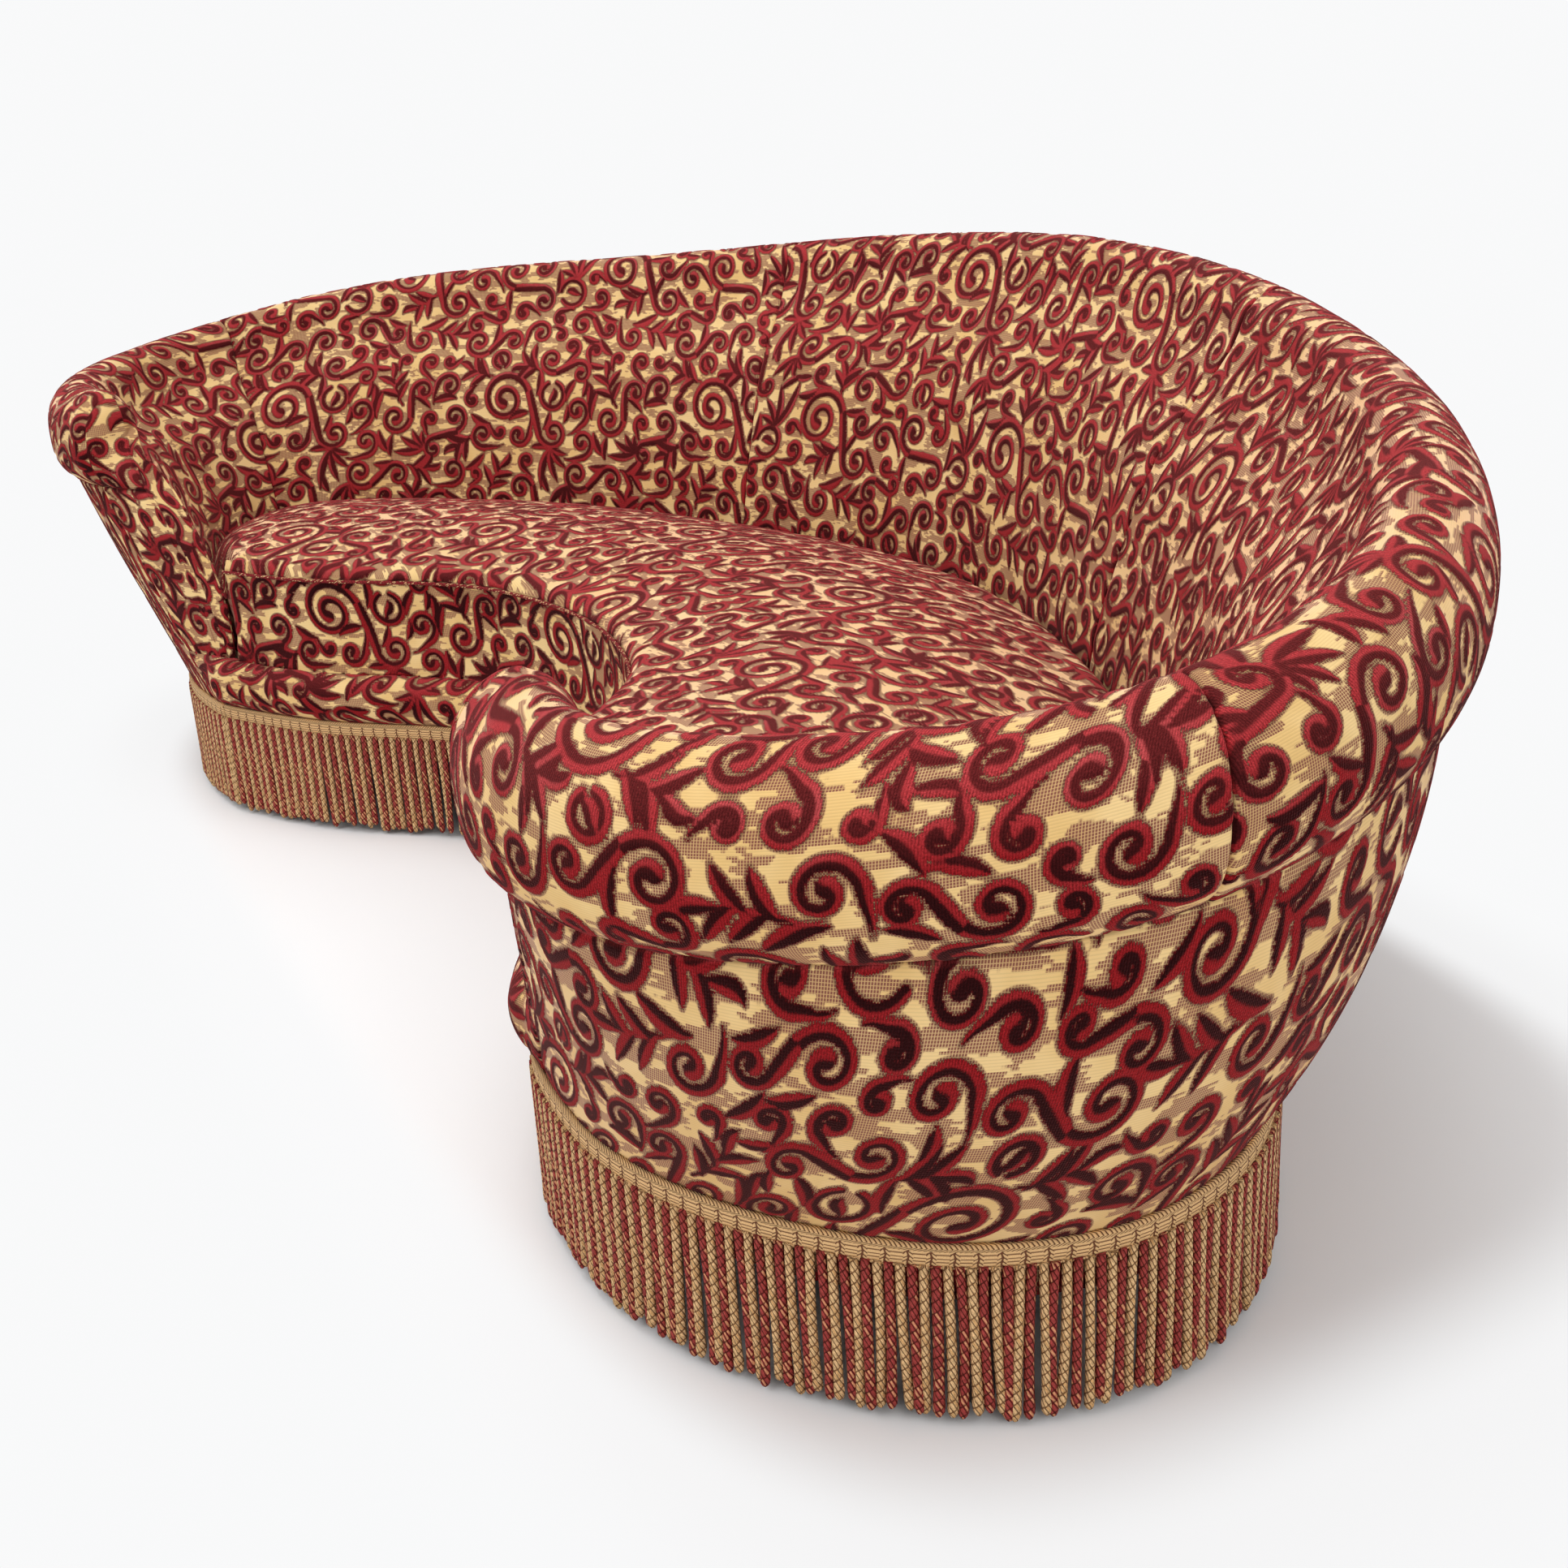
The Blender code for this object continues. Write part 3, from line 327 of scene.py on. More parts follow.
def bow(ends, steps):
    """Points of a cubic curve through four control points."""
    t = np.linspace(0, 1, steps + 1)[:, None]
    a, b, c, d = np.array(ends, float)
    return (1 - t)**3 * a + 3 * (1 - t)**2 * t * b + 3 * (1 - t) * t**2 * c + t**3 * d


def line_width(reach):
    return 4.5 + 0.055 * reach if reach < 30 else 6.6


def turned(vector):
    """The vector turned a quarter turn to the left."""
    return np.array([-vector[1], vector[0]])


def pointing(angle):
    return np.array([math.cos(angle), math.sin(angle)])


def winding(middle, reach, start, hand, width):
    """A line that winds in from its rim to a round bud."""
    turns = (0.62 + 0.0218 * reach) if reach < 34 else 1.62
    s = np.linspace(0, 1, int(24 * turns) + 1)
    angle = start + hand * 2 * math.pi * turns * s
    r = reach * (1 - 0.80 * s**0.85)
    points = middle + np.stack([r * np.cos(angle), r * np.sin(angle)], 1)
    bud = np.clip((s - 0.80) / 0.20, 0, 1) ** 1.5
    stroke(points, width * (1 - 0.22 * np.sin(math.pi * s) + 0.35 * bud), hand)


def s_scroll(first, second, hand):
    """Two windings of one hand, joined by the line that touches both."""
    ends = [np.array(end[:2], float) for end in (first, second)]
    apart = ends[1] - ends[0]
    angle = math.atan2(apart[1], apart[0]) - math.asin(
        hand * (first[2] + second[2]) / math.hypot(*apart))
    ahead = pointing(angle)
    touch = [ends[0] + hand * first[2] * turned(ahead), ends[1] - hand * second[2] * turned(ahead)]
    widths = [line_width(first[2]), line_width(second[2])]
    share = np.linspace(0, 1, 9)
    link = touch[0] + (touch[1] - touch[0]) * share[:, None]
    stroke(link, widths[0] + (widths[1] - widths[0]) * share + np.sin(math.pi * share), hand)
    for end, reach, point, width in zip(ends, (first[2], second[2]), touch, widths):
        start = math.atan2(*(point - end)[::-1])
        winding(end, reach, start, hand, width)


def frond(root, along, out, length, width, lean, hand):
    """A comma leaf that leaves its stem along it and bends out."""
    shape = bow([root - along * length * 0.30,
                 root + (along * 0.12 + out * 0.03) * length,
                 root + (along * 0.45 + out * (0.25 + lean)) * length,
                 root + (along * 0.72 + out * (0.62 + lean)) * length], 14)
    s = np.linspace(0, 1, 15)
    belly = np.abs(np.sin(math.pi * np.minimum(1, 0.10 + 0.90 * s) ** 1.25)) ** 0.75
    stroke(shape, np.maximum(1.3, width * belly), hand)


def spray(root, angle, length, bend, hand):
    """A curved stem with leaves down both sides and one at its tip."""
    points = [root]
    for k in range(12):
        points.append(points[-1] + pointing(angle + bend * k / 12) * length / 12)
    stroke(points, np.linspace(2.4, 1.8, 13), hand)
    for k, at in enumerate((3, 4, 7, 8)):
        hand_out = 1 if k % 2 else -1
        way = angle + bend * at / 12
        frond(points[at], pointing(way + hand_out * 0.35), hand_out * turned(pointing(way)), 27,
              6.2, 0.10, hand_out * (1 if k % 3 else -1))
    tip = pointing(angle + bend)
    frond(points[-2], tip, turned(tip), 29, 6.4, -0.45, hand)


def fan(root, angle, length, hand):
    """Four curling fronds from one root, each longer than the last and bent the same way."""
    for k, share in enumerate((0.55, 0.75, 0.95, 1.15)):
        way = pointing(angle + hand * (0.75 - 0.50 * k))
        frond(root + way * length * share * 0.22, way, hand * turned(way), length * share,
              5.4 + 0.5 * k, 0.10, hand)


def ring(middle, reach, angle, hand):
    """An open ring with a bud in it."""
    turn = angle + hand * 0.29 * np.arange(20)
    stroke(middle + reach * np.stack([np.cos(turn), np.sin(turn)], 1),
           4.2 + 0.9 * np.sin(math.pi * np.arange(20) / 19), hand)
    way = pointing(angle)
    frond(middle - 7 * way, way, turned(way), 24, 6.2, -0.55, hand)


def curl(root, middle, out, along, gap, hand):
    """A winding in the gap, on a tail that leaves the nearest line along it."""
    reach = gap * 0.68
    width = min(5.8, 3.2 + 0.16 * reach)
    start = math.atan2(-out[1], -out[0]) + hand * 0.35
    rim = middle + reach * pointing(start)
    heading = hand * turned(pointing(start))
    base = root - along * gap * 0.75
    stroke(bow([base, base + along * gap * 0.4, rim - heading * gap * 0.4, rim], 8),
           np.linspace(1.6, width, 9), hand)
    winding(middle, reach, start, hand, width)


def depth_at(x, y):
    return pile_depth[round(y) % REPEAT_HEIGHT, round(x) % REPEAT_WIDTH]


def nearest_pile(middle):
    """The point of pile that a walk uphill from the middle of a gap reaches."""
    root = middle.copy()
    for _ in range(80):
        if depth_at(*root) > 0.4:
            break
        rise = np.array([depth_at(root[0] + 1, root[1]) - depth_at(root[0] - 1, root[1]),
                         depth_at(root[0], root[1] + 1) - depth_at(root[0], root[1] - 1)])
        root += rise / (math.hypot(*rise) + 1e-9)
    return root


def fill_gaps():
    """The widest gap is filled again and again, until no wide ground is left."""
    chance = np.random.default_rng(11)
    wide = 0
    for _ in range(400):
        j, i = np.unravel_index(np.argmin(pile_depth), pile_depth.shape)
        gap = -pile_depth[j, i]
        if gap < WIDEST_GROUND:
            return
        middle = np.array([i, j], float)
        root = nearest_pile(middle)
        out = (middle - root) / (math.hypot(*(middle - root)) + 1e-9)
        along = turned(out)
        if depth_at(*(middle + along * gap)) > depth_at(*(middle - along * gap)):
            along = -along
        hand = 1 if along[0] * out[1] - along[1] * out[0] > 0 else -1
        angle = math.atan2(out[1], out[0])
        kind = "curl" if gap > 16.5 else "leaf"
        if gap > 20:
            kind = FILLINGS[wide % len(FILLINGS)]
            wide += 1
        if kind == "ring":
            ring(middle, gap * 0.62, angle + math.pi + 0.35 * hand, hand)
        elif kind == "fan":
            fan(root - out * 3, angle, gap * 1.6, hand)
        elif kind == "spray":
            spray(root - along * gap * 0.5, angle - hand * 0.42, gap * 1.75, 0.5 * hand, hand)
        elif kind == "curl":
            curl(root, middle, out, along, gap, hand)
        else:
            core = chance.choice((hand, hand, -hand))
            frond(root - along * gap * 0.55 - out * 1.5, along, out, gap * chance.uniform(2.1, 2.7),
                  min(7.4, gap * 0.50), chance.uniform(-0.05, 0.22), core)


for one in SCROLLS:
    s_scroll(*one)
fill_gaps()
pile_depth *= REPEAT_CELL
for axis in (0, 1):
    pile_side = (np.roll(pile_side, 1, axis) + pile_side + np.roll(pile_side, -1, axis)) / 3


def repeat_at(field, uv):
    """A field of the repeat at places on the cloth, smooth between its cells."""
    x, y = uv[..., 0] / REPEAT_CELL, uv[..., 1] / REPEAT_CELL
    i, j = np.floor(x).astype(int), np.floor(y).astype(int)
    fx, fy = x - i, y - j
    rows, columns = field.shape
    low, high = (field[row % rows, i % columns] * (1 - fx)
                 + field[row % rows, (i + 1) % columns] * fx for row in (j, j + 1))
    return low * (1 - fy) + high * fy


# Pile colours. Each _LIT copy is painted lighter for faces that turn up, and the rose is painted
# stronger there: painted light.
PILE_RED, PILE_RED_LIT = (0.245, 0.0095, 0.0120), (0.385, 0.036, 0.040)
PILE_DARK, PILE_DARK_LIT = (0.021, 0.0024, 0.0028), (0.110, 0.0125, 0.0130)
PILE_ROSE = (0.47, 0.085, 0.085)
GROUND_GOLD, GROUND_PALE = (0.74, 0.485, 0.190), (0.83, 0.590, 0.275)
# A pale pink gold that is painted on up-facing satin seen at a grazing angle: painted sheen.
GROUND_SHEEN = (0.96, 0.60, 0.37)
GROUND_BROWN = (0.235, 0.085, 0.058)
PILE_HEIGHT, PILE_FOOT, PILE_RISE = 0.0013, 0.0006, 0.0022
WARP_PITCH, PICK_PITCH = 0.0021, 0.0021
TEETH_LENGTH, TUFT_LENGTH, WARP_LENGTH = 0.0022, 0.0012, 0.0005
# Depths into the pile, or with a minus out of it, where each part of the look begins and ends
PILE_EDGE, CORE_EDGE, PILE_RIM_SHADE = (0.0002, 0.0008), (0.0002, 0.0016), (0.0006, 0.0022)
COMB_EDGE, SHADOW_EDGE = (-0.0024, -0.0010), (-0.0022, 0.0003)


def velvet_material():
    """Pile by its depth and side in the repeat, over gold satin crossed by ragged brown picks."""
    n = Finish("cut_velvet", 0.8)
    cloth = n.cloth()
    depth, side = (n.outputs("Attribute", attribute_name=name)["Fac"]
                   for name in ("pile_depth", "pile_side"))
    across, along = n.parts(cloth)[:2]
    row = n.math("FLOOR", along / PICK_PITCH)
    warp = n.math("SINE", across * (2 * math.pi / WARP_PITCH))
    weft = n.math("SINE", along * (2 * math.pi / PICK_PITCH))

    # Each pick ends the pile at its own place, so the edge is toothed, and tufts soften it
    tooth = n.value("CombineXYZ", across * 170.0, row * 3.7)
    teeth = n.noise(tooth, 1.0, 0.0, 0.5, "2D")
    tufts = n.noise(cloth, 700.0, 2.0, 0.6, "2D")
    fibres = n.noise(cloth, 2100.0, 1.0, 0.5, "2D")
    ragged = (depth + (teeth - 0.5) * TEETH_LENGTH + (tufts - 0.5) * TUFT_LENGTH
              + warp * WARP_LENGTH)
    pile = n.between(ragged, *PILE_EDGE)

    # The nap leans: a line is dark in its core and bright beside it. Painted light: faces that turn
    # up get a lighter red and core, and stronger pink patches.
    patches = n.noise(cloth, 11.0, 2.0, 0.5, "2D")
    leaning = side + (patches - 0.5) * 1.3 + (tufts - 0.5) * 0.7
    core = n.between(leaning, -0.26, 0.10) * n.between(ragged, *CORE_EDGE)
    upward = n.parts(n.outputs("NewGeometry")["Normal"])[2]
    lit = n.between(upward, -0.20, 0.75)
    rosy = n.between(patches, 0.48, 0.75) * n.between(lit, 0.0, 1.0, 0.12, 0.60)
    red = n.mix(rosy, n.mix(lit, PILE_RED, PILE_RED_LIT), PILE_ROSE)
    velvet = n.mix(core, red, n.mix(lit, PILE_DARK, PILE_DARK_LIT))
    # Fibres speckle the pile, and it is painted darker as shade where its tufts and ribs are low and
    # towards its rim.
    speckle_and_shade = (n.between(fibres, 0.25, 0.75, 0.70, 1.30) * n.between(tufts, 0.30, 0.70, 0.72, 1.26)
               * n.between(warp, -1.0, 0.2, 0.72, 1.06)
               * n.between(ragged, *PILE_RIM_SHADE, 0.74, 1.08))
    velvet = n.darkened(velvet, speckle_and_shade)

    # Ragged brown picks hatch the gold satin, and a comb of them lines the pile's edge
    ends = n.chosen(n.math("FLOOR", row / 2.0)) * 0.42
    streaks = n.value("CombineXYZ", across * 24.0 + ends, row * 0.135)
    picks = n.between(n.noise(streaks, 1.0, 2.0, 0.55, "2D"), 0.497, 0.515)
    picks = n.math("MAXIMUM", picks, n.between(depth, *COMB_EDGE))
    hatch = picks * n.between(n.math("MAXIMUM", warp, weft - 0.25), 0.30, 0.80, 1.0, 0.34)
    clouds = n.between(n.noise(cloth, 9.0, 3.0, 0.6, "2D"), 0.3, 0.7)
    # The satin is painted a little darker between its picks, as shade.
    satin = n.darkened(n.mix(clouds, GROUND_GOLD, GROUND_PALE),
                       n.between(weft, -1.0, 0.0, 0.90, 1.0))
    # Painted sheen: up-facing satin turns pale pink gold where it is seen at a grazing angle.
    satin_sheen = n.between(n.outputs("LayerWeight")["Facing"], 0.45, 0.90, 0.0, 0.75)
    satin = n.mix(satin_sheen * n.between(upward, 0.0, 0.5), satin, GROUND_SHEEN)
    ground = n.darkened(n.mix(hatch, satin, GROUND_BROWN),
                        n.between(depth, *SHADOW_EDGE, 1.0, 0.58))

    height = pile * (0.7 + (tufts * 0.7 + warp * 0.14)) + (weft + hatch * -0.8) * 0.06
    return n.surface({"Base Color": n.mix(pile, ground, velvet),
                      "Roughness": n.between(pile, 0.0, 1.0, 0.50, 0.95),
                      "Sheen Weight": 0.16, "Sheen Roughness": 0.35,
                      "Sheen Tint": (1.0, 0.34, 0.32, 1.0), "Specular IOR Level": 0.05,
                      "Normal": n.bump(height, 0.0011, 0.8)})


velvet = velvet_material()


# The upholstery follows three lines in plan: the rolled rim, the base above the fringe and the
# seat, each through numbered stations from the left arm front round the back to the right one.
RIM_HALF_WIDTH, RIM_BACK_Y, RIM_FRONT_Y = 1.337, 0.6048, -0.6048
BASE_HALF_WIDTH, BASE_BACK_Y, BASE_FRONT_Y = 1.216, 0.4468, -0.5472
SEAT_HALF_WIDTH, SEAT_BACK_Y, SEAT_FRONT_Y = 1.150, 0.4068, -0.5133
BACK_RIM_HEIGHT, ARM_RIM_HEIGHT = 0.765, 0.588
RIM_X = (0.0, 0.212, 0.419, 0.613, 0.783, 0.912, 0.986, 1.0, 0.950, 0.852, 0.757, 0.694)
RIM_Y = (1.0, 0.975, 0.906, 0.798, 0.661, 0.518, 0.381, 0.250, 0.121, 0.025, 0.0, 0.012)
RIM_FALL = (0.0, 0.045, 0.15, 0.27, 0.35, 0.45, 0.59, 0.75, 0.88, 0.96, 1.0, 1.0)
BASE_X = (0.0, 0.205, 0.417, 0.629, 0.810, 0.950, 0.999, 0.986, 0.940, 0.842, 0.711, 0.588)
BASE_Y = (1.0, 0.972, 0.903, 0.809, 0.682, 0.520, 0.362, 0.255, 0.158, 0.060, 0.0, 0.002)
FRONT_X = (0.526, 0.432, 0.350, 0.245, 0.125, 0.0)
FRONT_Y = (0.024, 0.091, 0.175, 0.297, 0.358, 0.377)
SEAT_X = (0.0, 0.202, 0.405, 0.617, 0.796, 0.925, 0.992, 0.990, 0.936, 0.840, 0.700, 0.585, 0.561)
SEAT_Y = (1.0, 0.970, 0.893, 0.770, 0.610, 0.450, 0.325, 0.235, 0.143, 0.060, 0.015, 0.003, -0.006)
LAST = 11
BASE_COUNT = 34
FRONT_START = LAST + 1.15
FRONT_END = BASE_COUNT - FRONT_START


class Line:
    """A smooth line through numbered stations, open or closed."""

    def __init__(self, points, first, closed=False):
        self.points = np.array(points, float)
        self.first = first
        self.closed = closed
        n = len(self.points)
        matrix = 4 * np.eye(n) + np.eye(n, k=1) + np.eye(n, k=-1)
        change = np.roll(self.points, -1, 0) - np.roll(self.points, 1, 0)
        if closed:
            matrix[0, -1] = matrix[-1, 0] = 1
        else:
            matrix[0, 0] = matrix[-1, -1] = 2
            change[0] = self.points[1] - self.points[0]
            change[-1] = self.points[-1] - self.points[-2]
        self.slopes = np.linalg.solve(matrix, 3 * change)

    def at(self, places):
        t = np.asarray(places, float) - self.first
        n = len(self.points)
        i = np.floor(t).astype(int)
        if not self.closed:
            i = np.clip(i, 0, n - 2)
        u = (t - i)[..., None]
        i, j = i % n, (i + 1) % n
        return (self.points[i] * (2 * u**3 - 3 * u**2 + 1) + self.points[j] * (3 * u**2 - 2 * u**3)
                + self.slopes[i] * (u**3 - 2 * u**2 + u) + self.slopes[j] * (u**3 - u**2))

    def out(self, places):
        """Unit vectors in plan, square to the line and away from the sofa."""
        places = np.asarray(places, float)
        run = (self.at(places + 0.01) - self.at(places - 0.01))[..., :2]
        run /= np.linalg.norm(run, axis=-1)[..., None]
        return np.stack([-run[..., 1], run[..., 0], 0 * run[..., 0]], -1)

    def ahead(self, places):
        out = self.out(places)
        return np.stack([out[..., 1], -out[..., 0], 0 * out[..., 0]], -1)


def half_plan(xs, ys, half_width, back_y, front_y):
    return [(x * half_width, front_y + y * (back_y - front_y)) for x, y in zip(xs, ys)]


def both_halves(right_half):
    return [(-p[0],) + tuple(p[1:]) for p in right_half[:0:-1]] + list(right_half)


rim_plan = half_plan(RIM_X, RIM_Y, RIM_HALF_WIDTH, RIM_BACK_Y, RIM_FRONT_Y)
rim_half = [(x, y, BACK_RIM_HEIGHT - (BACK_RIM_HEIGHT - ARM_RIM_HEIGHT) * fall)
            for (x, y), fall in zip(rim_plan, RIM_FALL)]
front_half = half_plan(FRONT_X, FRONT_Y, BASE_HALF_WIDTH, BASE_BACK_Y, BASE_FRONT_Y)
RIM = Line(both_halves(rim_half), -LAST)
BASE = Line(both_halves(half_plan(BASE_X, BASE_Y, BASE_HALF_WIDTH, BASE_BACK_Y, BASE_FRONT_Y))
            + front_half + [(-x, y) for x, y in front_half[-2::-1]], -LAST, closed=True)
SEAT = Line(both_halves(half_plan(SEAT_X, SEAT_Y, SEAT_HALF_WIDTH, SEAT_BACK_Y, SEAT_FRONT_Y)),
            -LAST - 1)
UP = np.array([0.0, 0.0, 1.0])


def at_level(plan, z):
    """Plan points at a level."""
    return np.concatenate([plan[..., :2], np.broadcast_to(z, plan.shape[:-1])[..., None]], -1)


def lengths_along(points, axis):
    """Length run through along one axis of a grid of points."""
    steps = np.linalg.norm(np.diff(points, axis=axis), axis=-1)
    total = np.cumsum(steps, axis=axis)
    return np.concatenate([np.zeros_like(np.take(total, [0], axis)), total], axis)


def through(points, count):
    """A smooth line through points (the first axis), cut into equal steps for each column."""
    knots = lengths_along(points, 0)
    knots = knots.reshape(len(knots), -1).mean(1)
    gaps = np.diff(knots)
    n = len(knots)
    matrix = np.eye(n)
    right = np.zeros_like(points)
    for i in range(1, n - 1):
        matrix[i, i - 1:i + 2] = gaps[i - 1], 2 * (gaps[i - 1] + gaps[i]), gaps[i]
        right[i] = 6 * ((points[i + 1] - points[i]) / gaps[i]
                        - (points[i] - points[i - 1]) / gaps[i - 1])
    bends = np.linalg.solve(matrix, right.reshape(n, -1)).reshape(points.shape)
    fine = np.linspace(0, knots[-1], 8 * n)
    k = np.clip(np.searchsorted(knots, fine, side="right") - 1, 0, n - 2)
    shape = (-1,) + (1,) * (points.ndim - 1)
    h = gaps[k].reshape(shape)
    a = (knots[k + 1] - fine).reshape(shape)
    b = (fine - knots[k]).reshape(shape)
    line = (bends[k] * a**3 / (6 * h) + bends[k + 1] * b**3 / (6 * h)
            + (points[k] / h - bends[k] * h / 6) * a
            + (points[k + 1] / h - bends[k + 1] * h / 6) * b)
    return spaced(line, count)


def spaced(line, count):
    """The same lines (along the first axis) with points an equal way apart, or at shares."""
    shares = np.linspace(0, 1, count) if np.isscalar(count) else np.asarray(count)
    run = lengths_along(line, 0)
    flat = line.reshape(len(line), -1, 3)
    runs = run.reshape(len(run), -1)
    result = np.empty((len(shares),) + flat.shape[1:])
    for c in range(flat.shape[1]):
        at = shares * runs[-1, c]
        for axis in range(3):
            result[:, c, axis] = np.interp(at, runs[:, c], flat[:, c, axis])
    return result.reshape((len(shares),) + line.shape[1:])


TURNED_EDGE = np.array([0.0, 0.0009, 0.002, 0.0034])
EDGE_WIDTH = 0.005


def edge_shares(length, step):
    """Shares along a length, a step apart, and closer near both ends for a turned edge."""
    middle = length - 2 * EDGE_WIDTH
    count = max(2, round(middle / step))
    inner = EDGE_WIDTH + np.arange(1, count) / count * middle
    return np.concatenate([TURNED_EDGE, inner, length - TURNED_EDGE[::-1]]) / length


# The padding is built up over the top rail to a roll and falls from it to the seat. Points on the
# roll are shares of its reach, and points on the face below are shares of the drop to the seat.
ROLL_OUT, ROLL_IN, ROLL_HEIGHT = 0.071, 0.031, 0.072
ROLL_OUT_SHARES = (0.563, 0.87, 1.0, 0.90, 0.59, 0.17)
ROLL_UP_SHARES = (-1.083, -0.78, -0.19, 0.42, 0.83, 1.0)
ROLL_IN_SHARES = (0.45, 1.0)
ROLL_IN_UP_SHARES = (0.84, 0.39)
FACE_LEVEL = 0.345
FACE_IN_SHARES = (0.29, 0.50, 0.66, 0.77, 0.87, 0.95, 1.0)
FACE_DROP_SHARES = (0.06, 0.21, 0.36, 0.52, 0.68, 0.84, 1.0)
FACE_FOOT = 0.2365
ROLL_SEAM_OUT, ROLL_SEAM_DROP = 0.040, 0.078
PAD_ON_RAIL_INSET = 0.0345
HEADING_TOP = 0.183
COVER_BOTTOM = 0.128
PANEL_BULGE, BULGE_END, BULGE_FADE = 0.030, 10.2, 2.2


def roll_points(places):
    rim = RIM.at(places)
    out = RIM.out(places)
    points = [rim + out * ROLL_OUT * o + UP * ROLL_HEIGHT * u
              for o, u in zip(ROLL_OUT_SHARES, ROLL_UP_SHARES)]
    points += [rim - out * ROLL_IN * o + UP * ROLL_HEIGHT * u
               for o, u in zip(ROLL_IN_SHARES, ROLL_IN_UP_SHARES)]
    return points


def face_points(places, foot):
    rim = RIM.at(places)
    seat = at_level(SEAT.at(places), 0.0)
    run = seat - at_level(rim, 0.0)
    drop = (rim[..., 2] - FACE_LEVEL)[..., None]
    points = [rim + run * i - UP * drop * d for i, d in zip(FACE_IN_SHARES, FACE_DROP_SHARES)]
    return points + [at_level(seat, foot)]


def panel_point(places, share, inset=0.0):
    """A point of the outside, from the roll's seam (0) to the fringe heading (1)."""
    places = np.asarray(places, float)
    out = RIM.out(places)
    top = RIM.at(places) + out * (ROLL_SEAM_OUT - inset) - UP * ROLL_SEAM_DROP
    foot = at_level(BASE.at(places) - BASE.out(places)[..., :2] * inset, HEADING_TOP)
    fade = np.clip((BULGE_END - abs(places)) / BULGE_FADE, 0, 1)[..., None]
    return top * (1 - share) + foot * share + out * PANEL_BULGE * fade * 4 * share * (1 - share)


def inside_skin(places, count, foot):
    """The inside cover at these stations, from the seam under the roll to the seat."""
    return through(np.array(roll_points(places) + face_points(places, foot)), count)


def ripple(u, v, size, seed):
    """Soft unevenness, from a few waves of about this size."""
    chance = np.random.default_rng(seed)
    total = 0
    for _ in range(7):
        angle = chance.uniform(0, math.pi)
        wave = 2 * math.pi / (size * chance.uniform(0.7, 1.5))
        total = total + np.sin((u * math.cos(angle) + v * math.sin(angle)) * wave
                               + chance.uniform(0, 2 * math.pi))
    return total / 7


def smooth_step(x):
    x = np.clip(x, 0, 1)
    return x * x * (3 - 2 * x)


def with_pile(grid, uv, outward):
    """The pile stands off the ground; returns the moved grid and the fields for its shading."""
    depth = repeat_at(pile_depth, uv)
    stand = smooth_step((depth + PILE_FOOT) / PILE_RISE)
    return grid + outward * (stand * PILE_HEIGHT)[..., None], depth, repeat_at(pile_side, uv)


def grid_mesh(name, grid, uv, depth=None, side=None):
    """A sheet of squares moved to a grid of points, with its cloth map and pile fields."""
    columns, rows = grid.shape[:2]
    bm = bmesh.new()
    bmesh.ops.create_grid(bm, x_segments=columns - 1, y_segments=rows - 1, size=1.0)
    mesh = bpy.data.meshes.new(name)
    bm.to_mesh(mesh)
    bm.free()
    flat = np.empty(len(mesh.vertices) * 3)
    mesh.vertices.foreach_get("co", flat)
    flat = flat.reshape(-1, 3)
    i = np.rint((flat[:, 0] + 1) / 2 * (columns - 1)).astype(int)
    j = np.rint((flat[:, 1] + 1) / 2 * (rows - 1)).astype(int)
    mesh.vertices.foreach_set("co", grid[i, j].ravel())
    for field_name, field in (("pile_depth", depth), ("pile_side", side)):
        field = np.zeros((columns, rows)) if field is None else field
        attribute = mesh.attributes.new(field_name, "FLOAT", "POINT")
        attribute.data.foreach_set("value", field[i, j].astype(np.float32))
    set_cloth_map(mesh, uv[i, j])
    return mesh


def set_cloth_map(mesh, uv):
    """Gives each vertex its place on the cloth."""
    corners = np.empty(len(mesh.loops), int)
    mesh.loops.foreach_get("vertex_index", corners)
    layer = mesh.uv_layers.get("cloth") or mesh.uv_layers.new(name="cloth")
    layer.data.foreach_set("uv", uv[corners].astype(np.float32).ravel())


WELD_DISTANCE = 0.00002


def close_up(mesh):
    """Meeting edges are welded, open ends are filled and the faces turned outwards."""
    bm = bmesh.new()
    bm.from_mesh(mesh)
    bmesh.ops.remove_doubles(bm, verts=bm.verts, dist=WELD_DISTANCE)
    open_edges = [e for e in bm.edges if e.is_boundary]
    filled = bmesh.ops.holes_fill(bm, edges=open_edges, sides=0)["faces"]
    bmesh.ops.triangulate(bm, faces=filled)
    bmesh.ops.recalc_face_normals(bm, faces=bm.faces)
    bm.to_mesh(mesh)
    bm.free()
    mesh.shade_smooth()


def add_piece(name, mesh, mat, body, slot, *nodes):
    piece = bpy.data.objects.new(name, mesh)
    bpy.context.scene.collection.objects.link(piece)
    for one in mat if isinstance(mat, tuple) else (mat,):
        mesh.materials.append(one)
    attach(piece, body)
    if nodes:
        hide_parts(*nodes)
    return piece


# Inside covers: five widths of velvet sewn edge to edge, laid over the padding, drawn over the
# roll and fastened in the seam under it. The arm widths run on round the rounded arm fronts.
CLOTH_STEP = 0.0034
SEAM_DEPTH, SEAM_RADIUS = 0.0045, 0.0048
UNEVEN, UNEVEN_SIZE, UNEVEN_FROM = 0.0011, 0.15, 0.05
PUCKER, PUCKER_SIZE, PUCKER_REACH = 0.0008, 0.020, 0.014
NO_PILE = -0.01
NOSE_LENGTH, NOSE_SEAM, NOSE_BOTTOM = 0.042, 0.0015, 0.2593
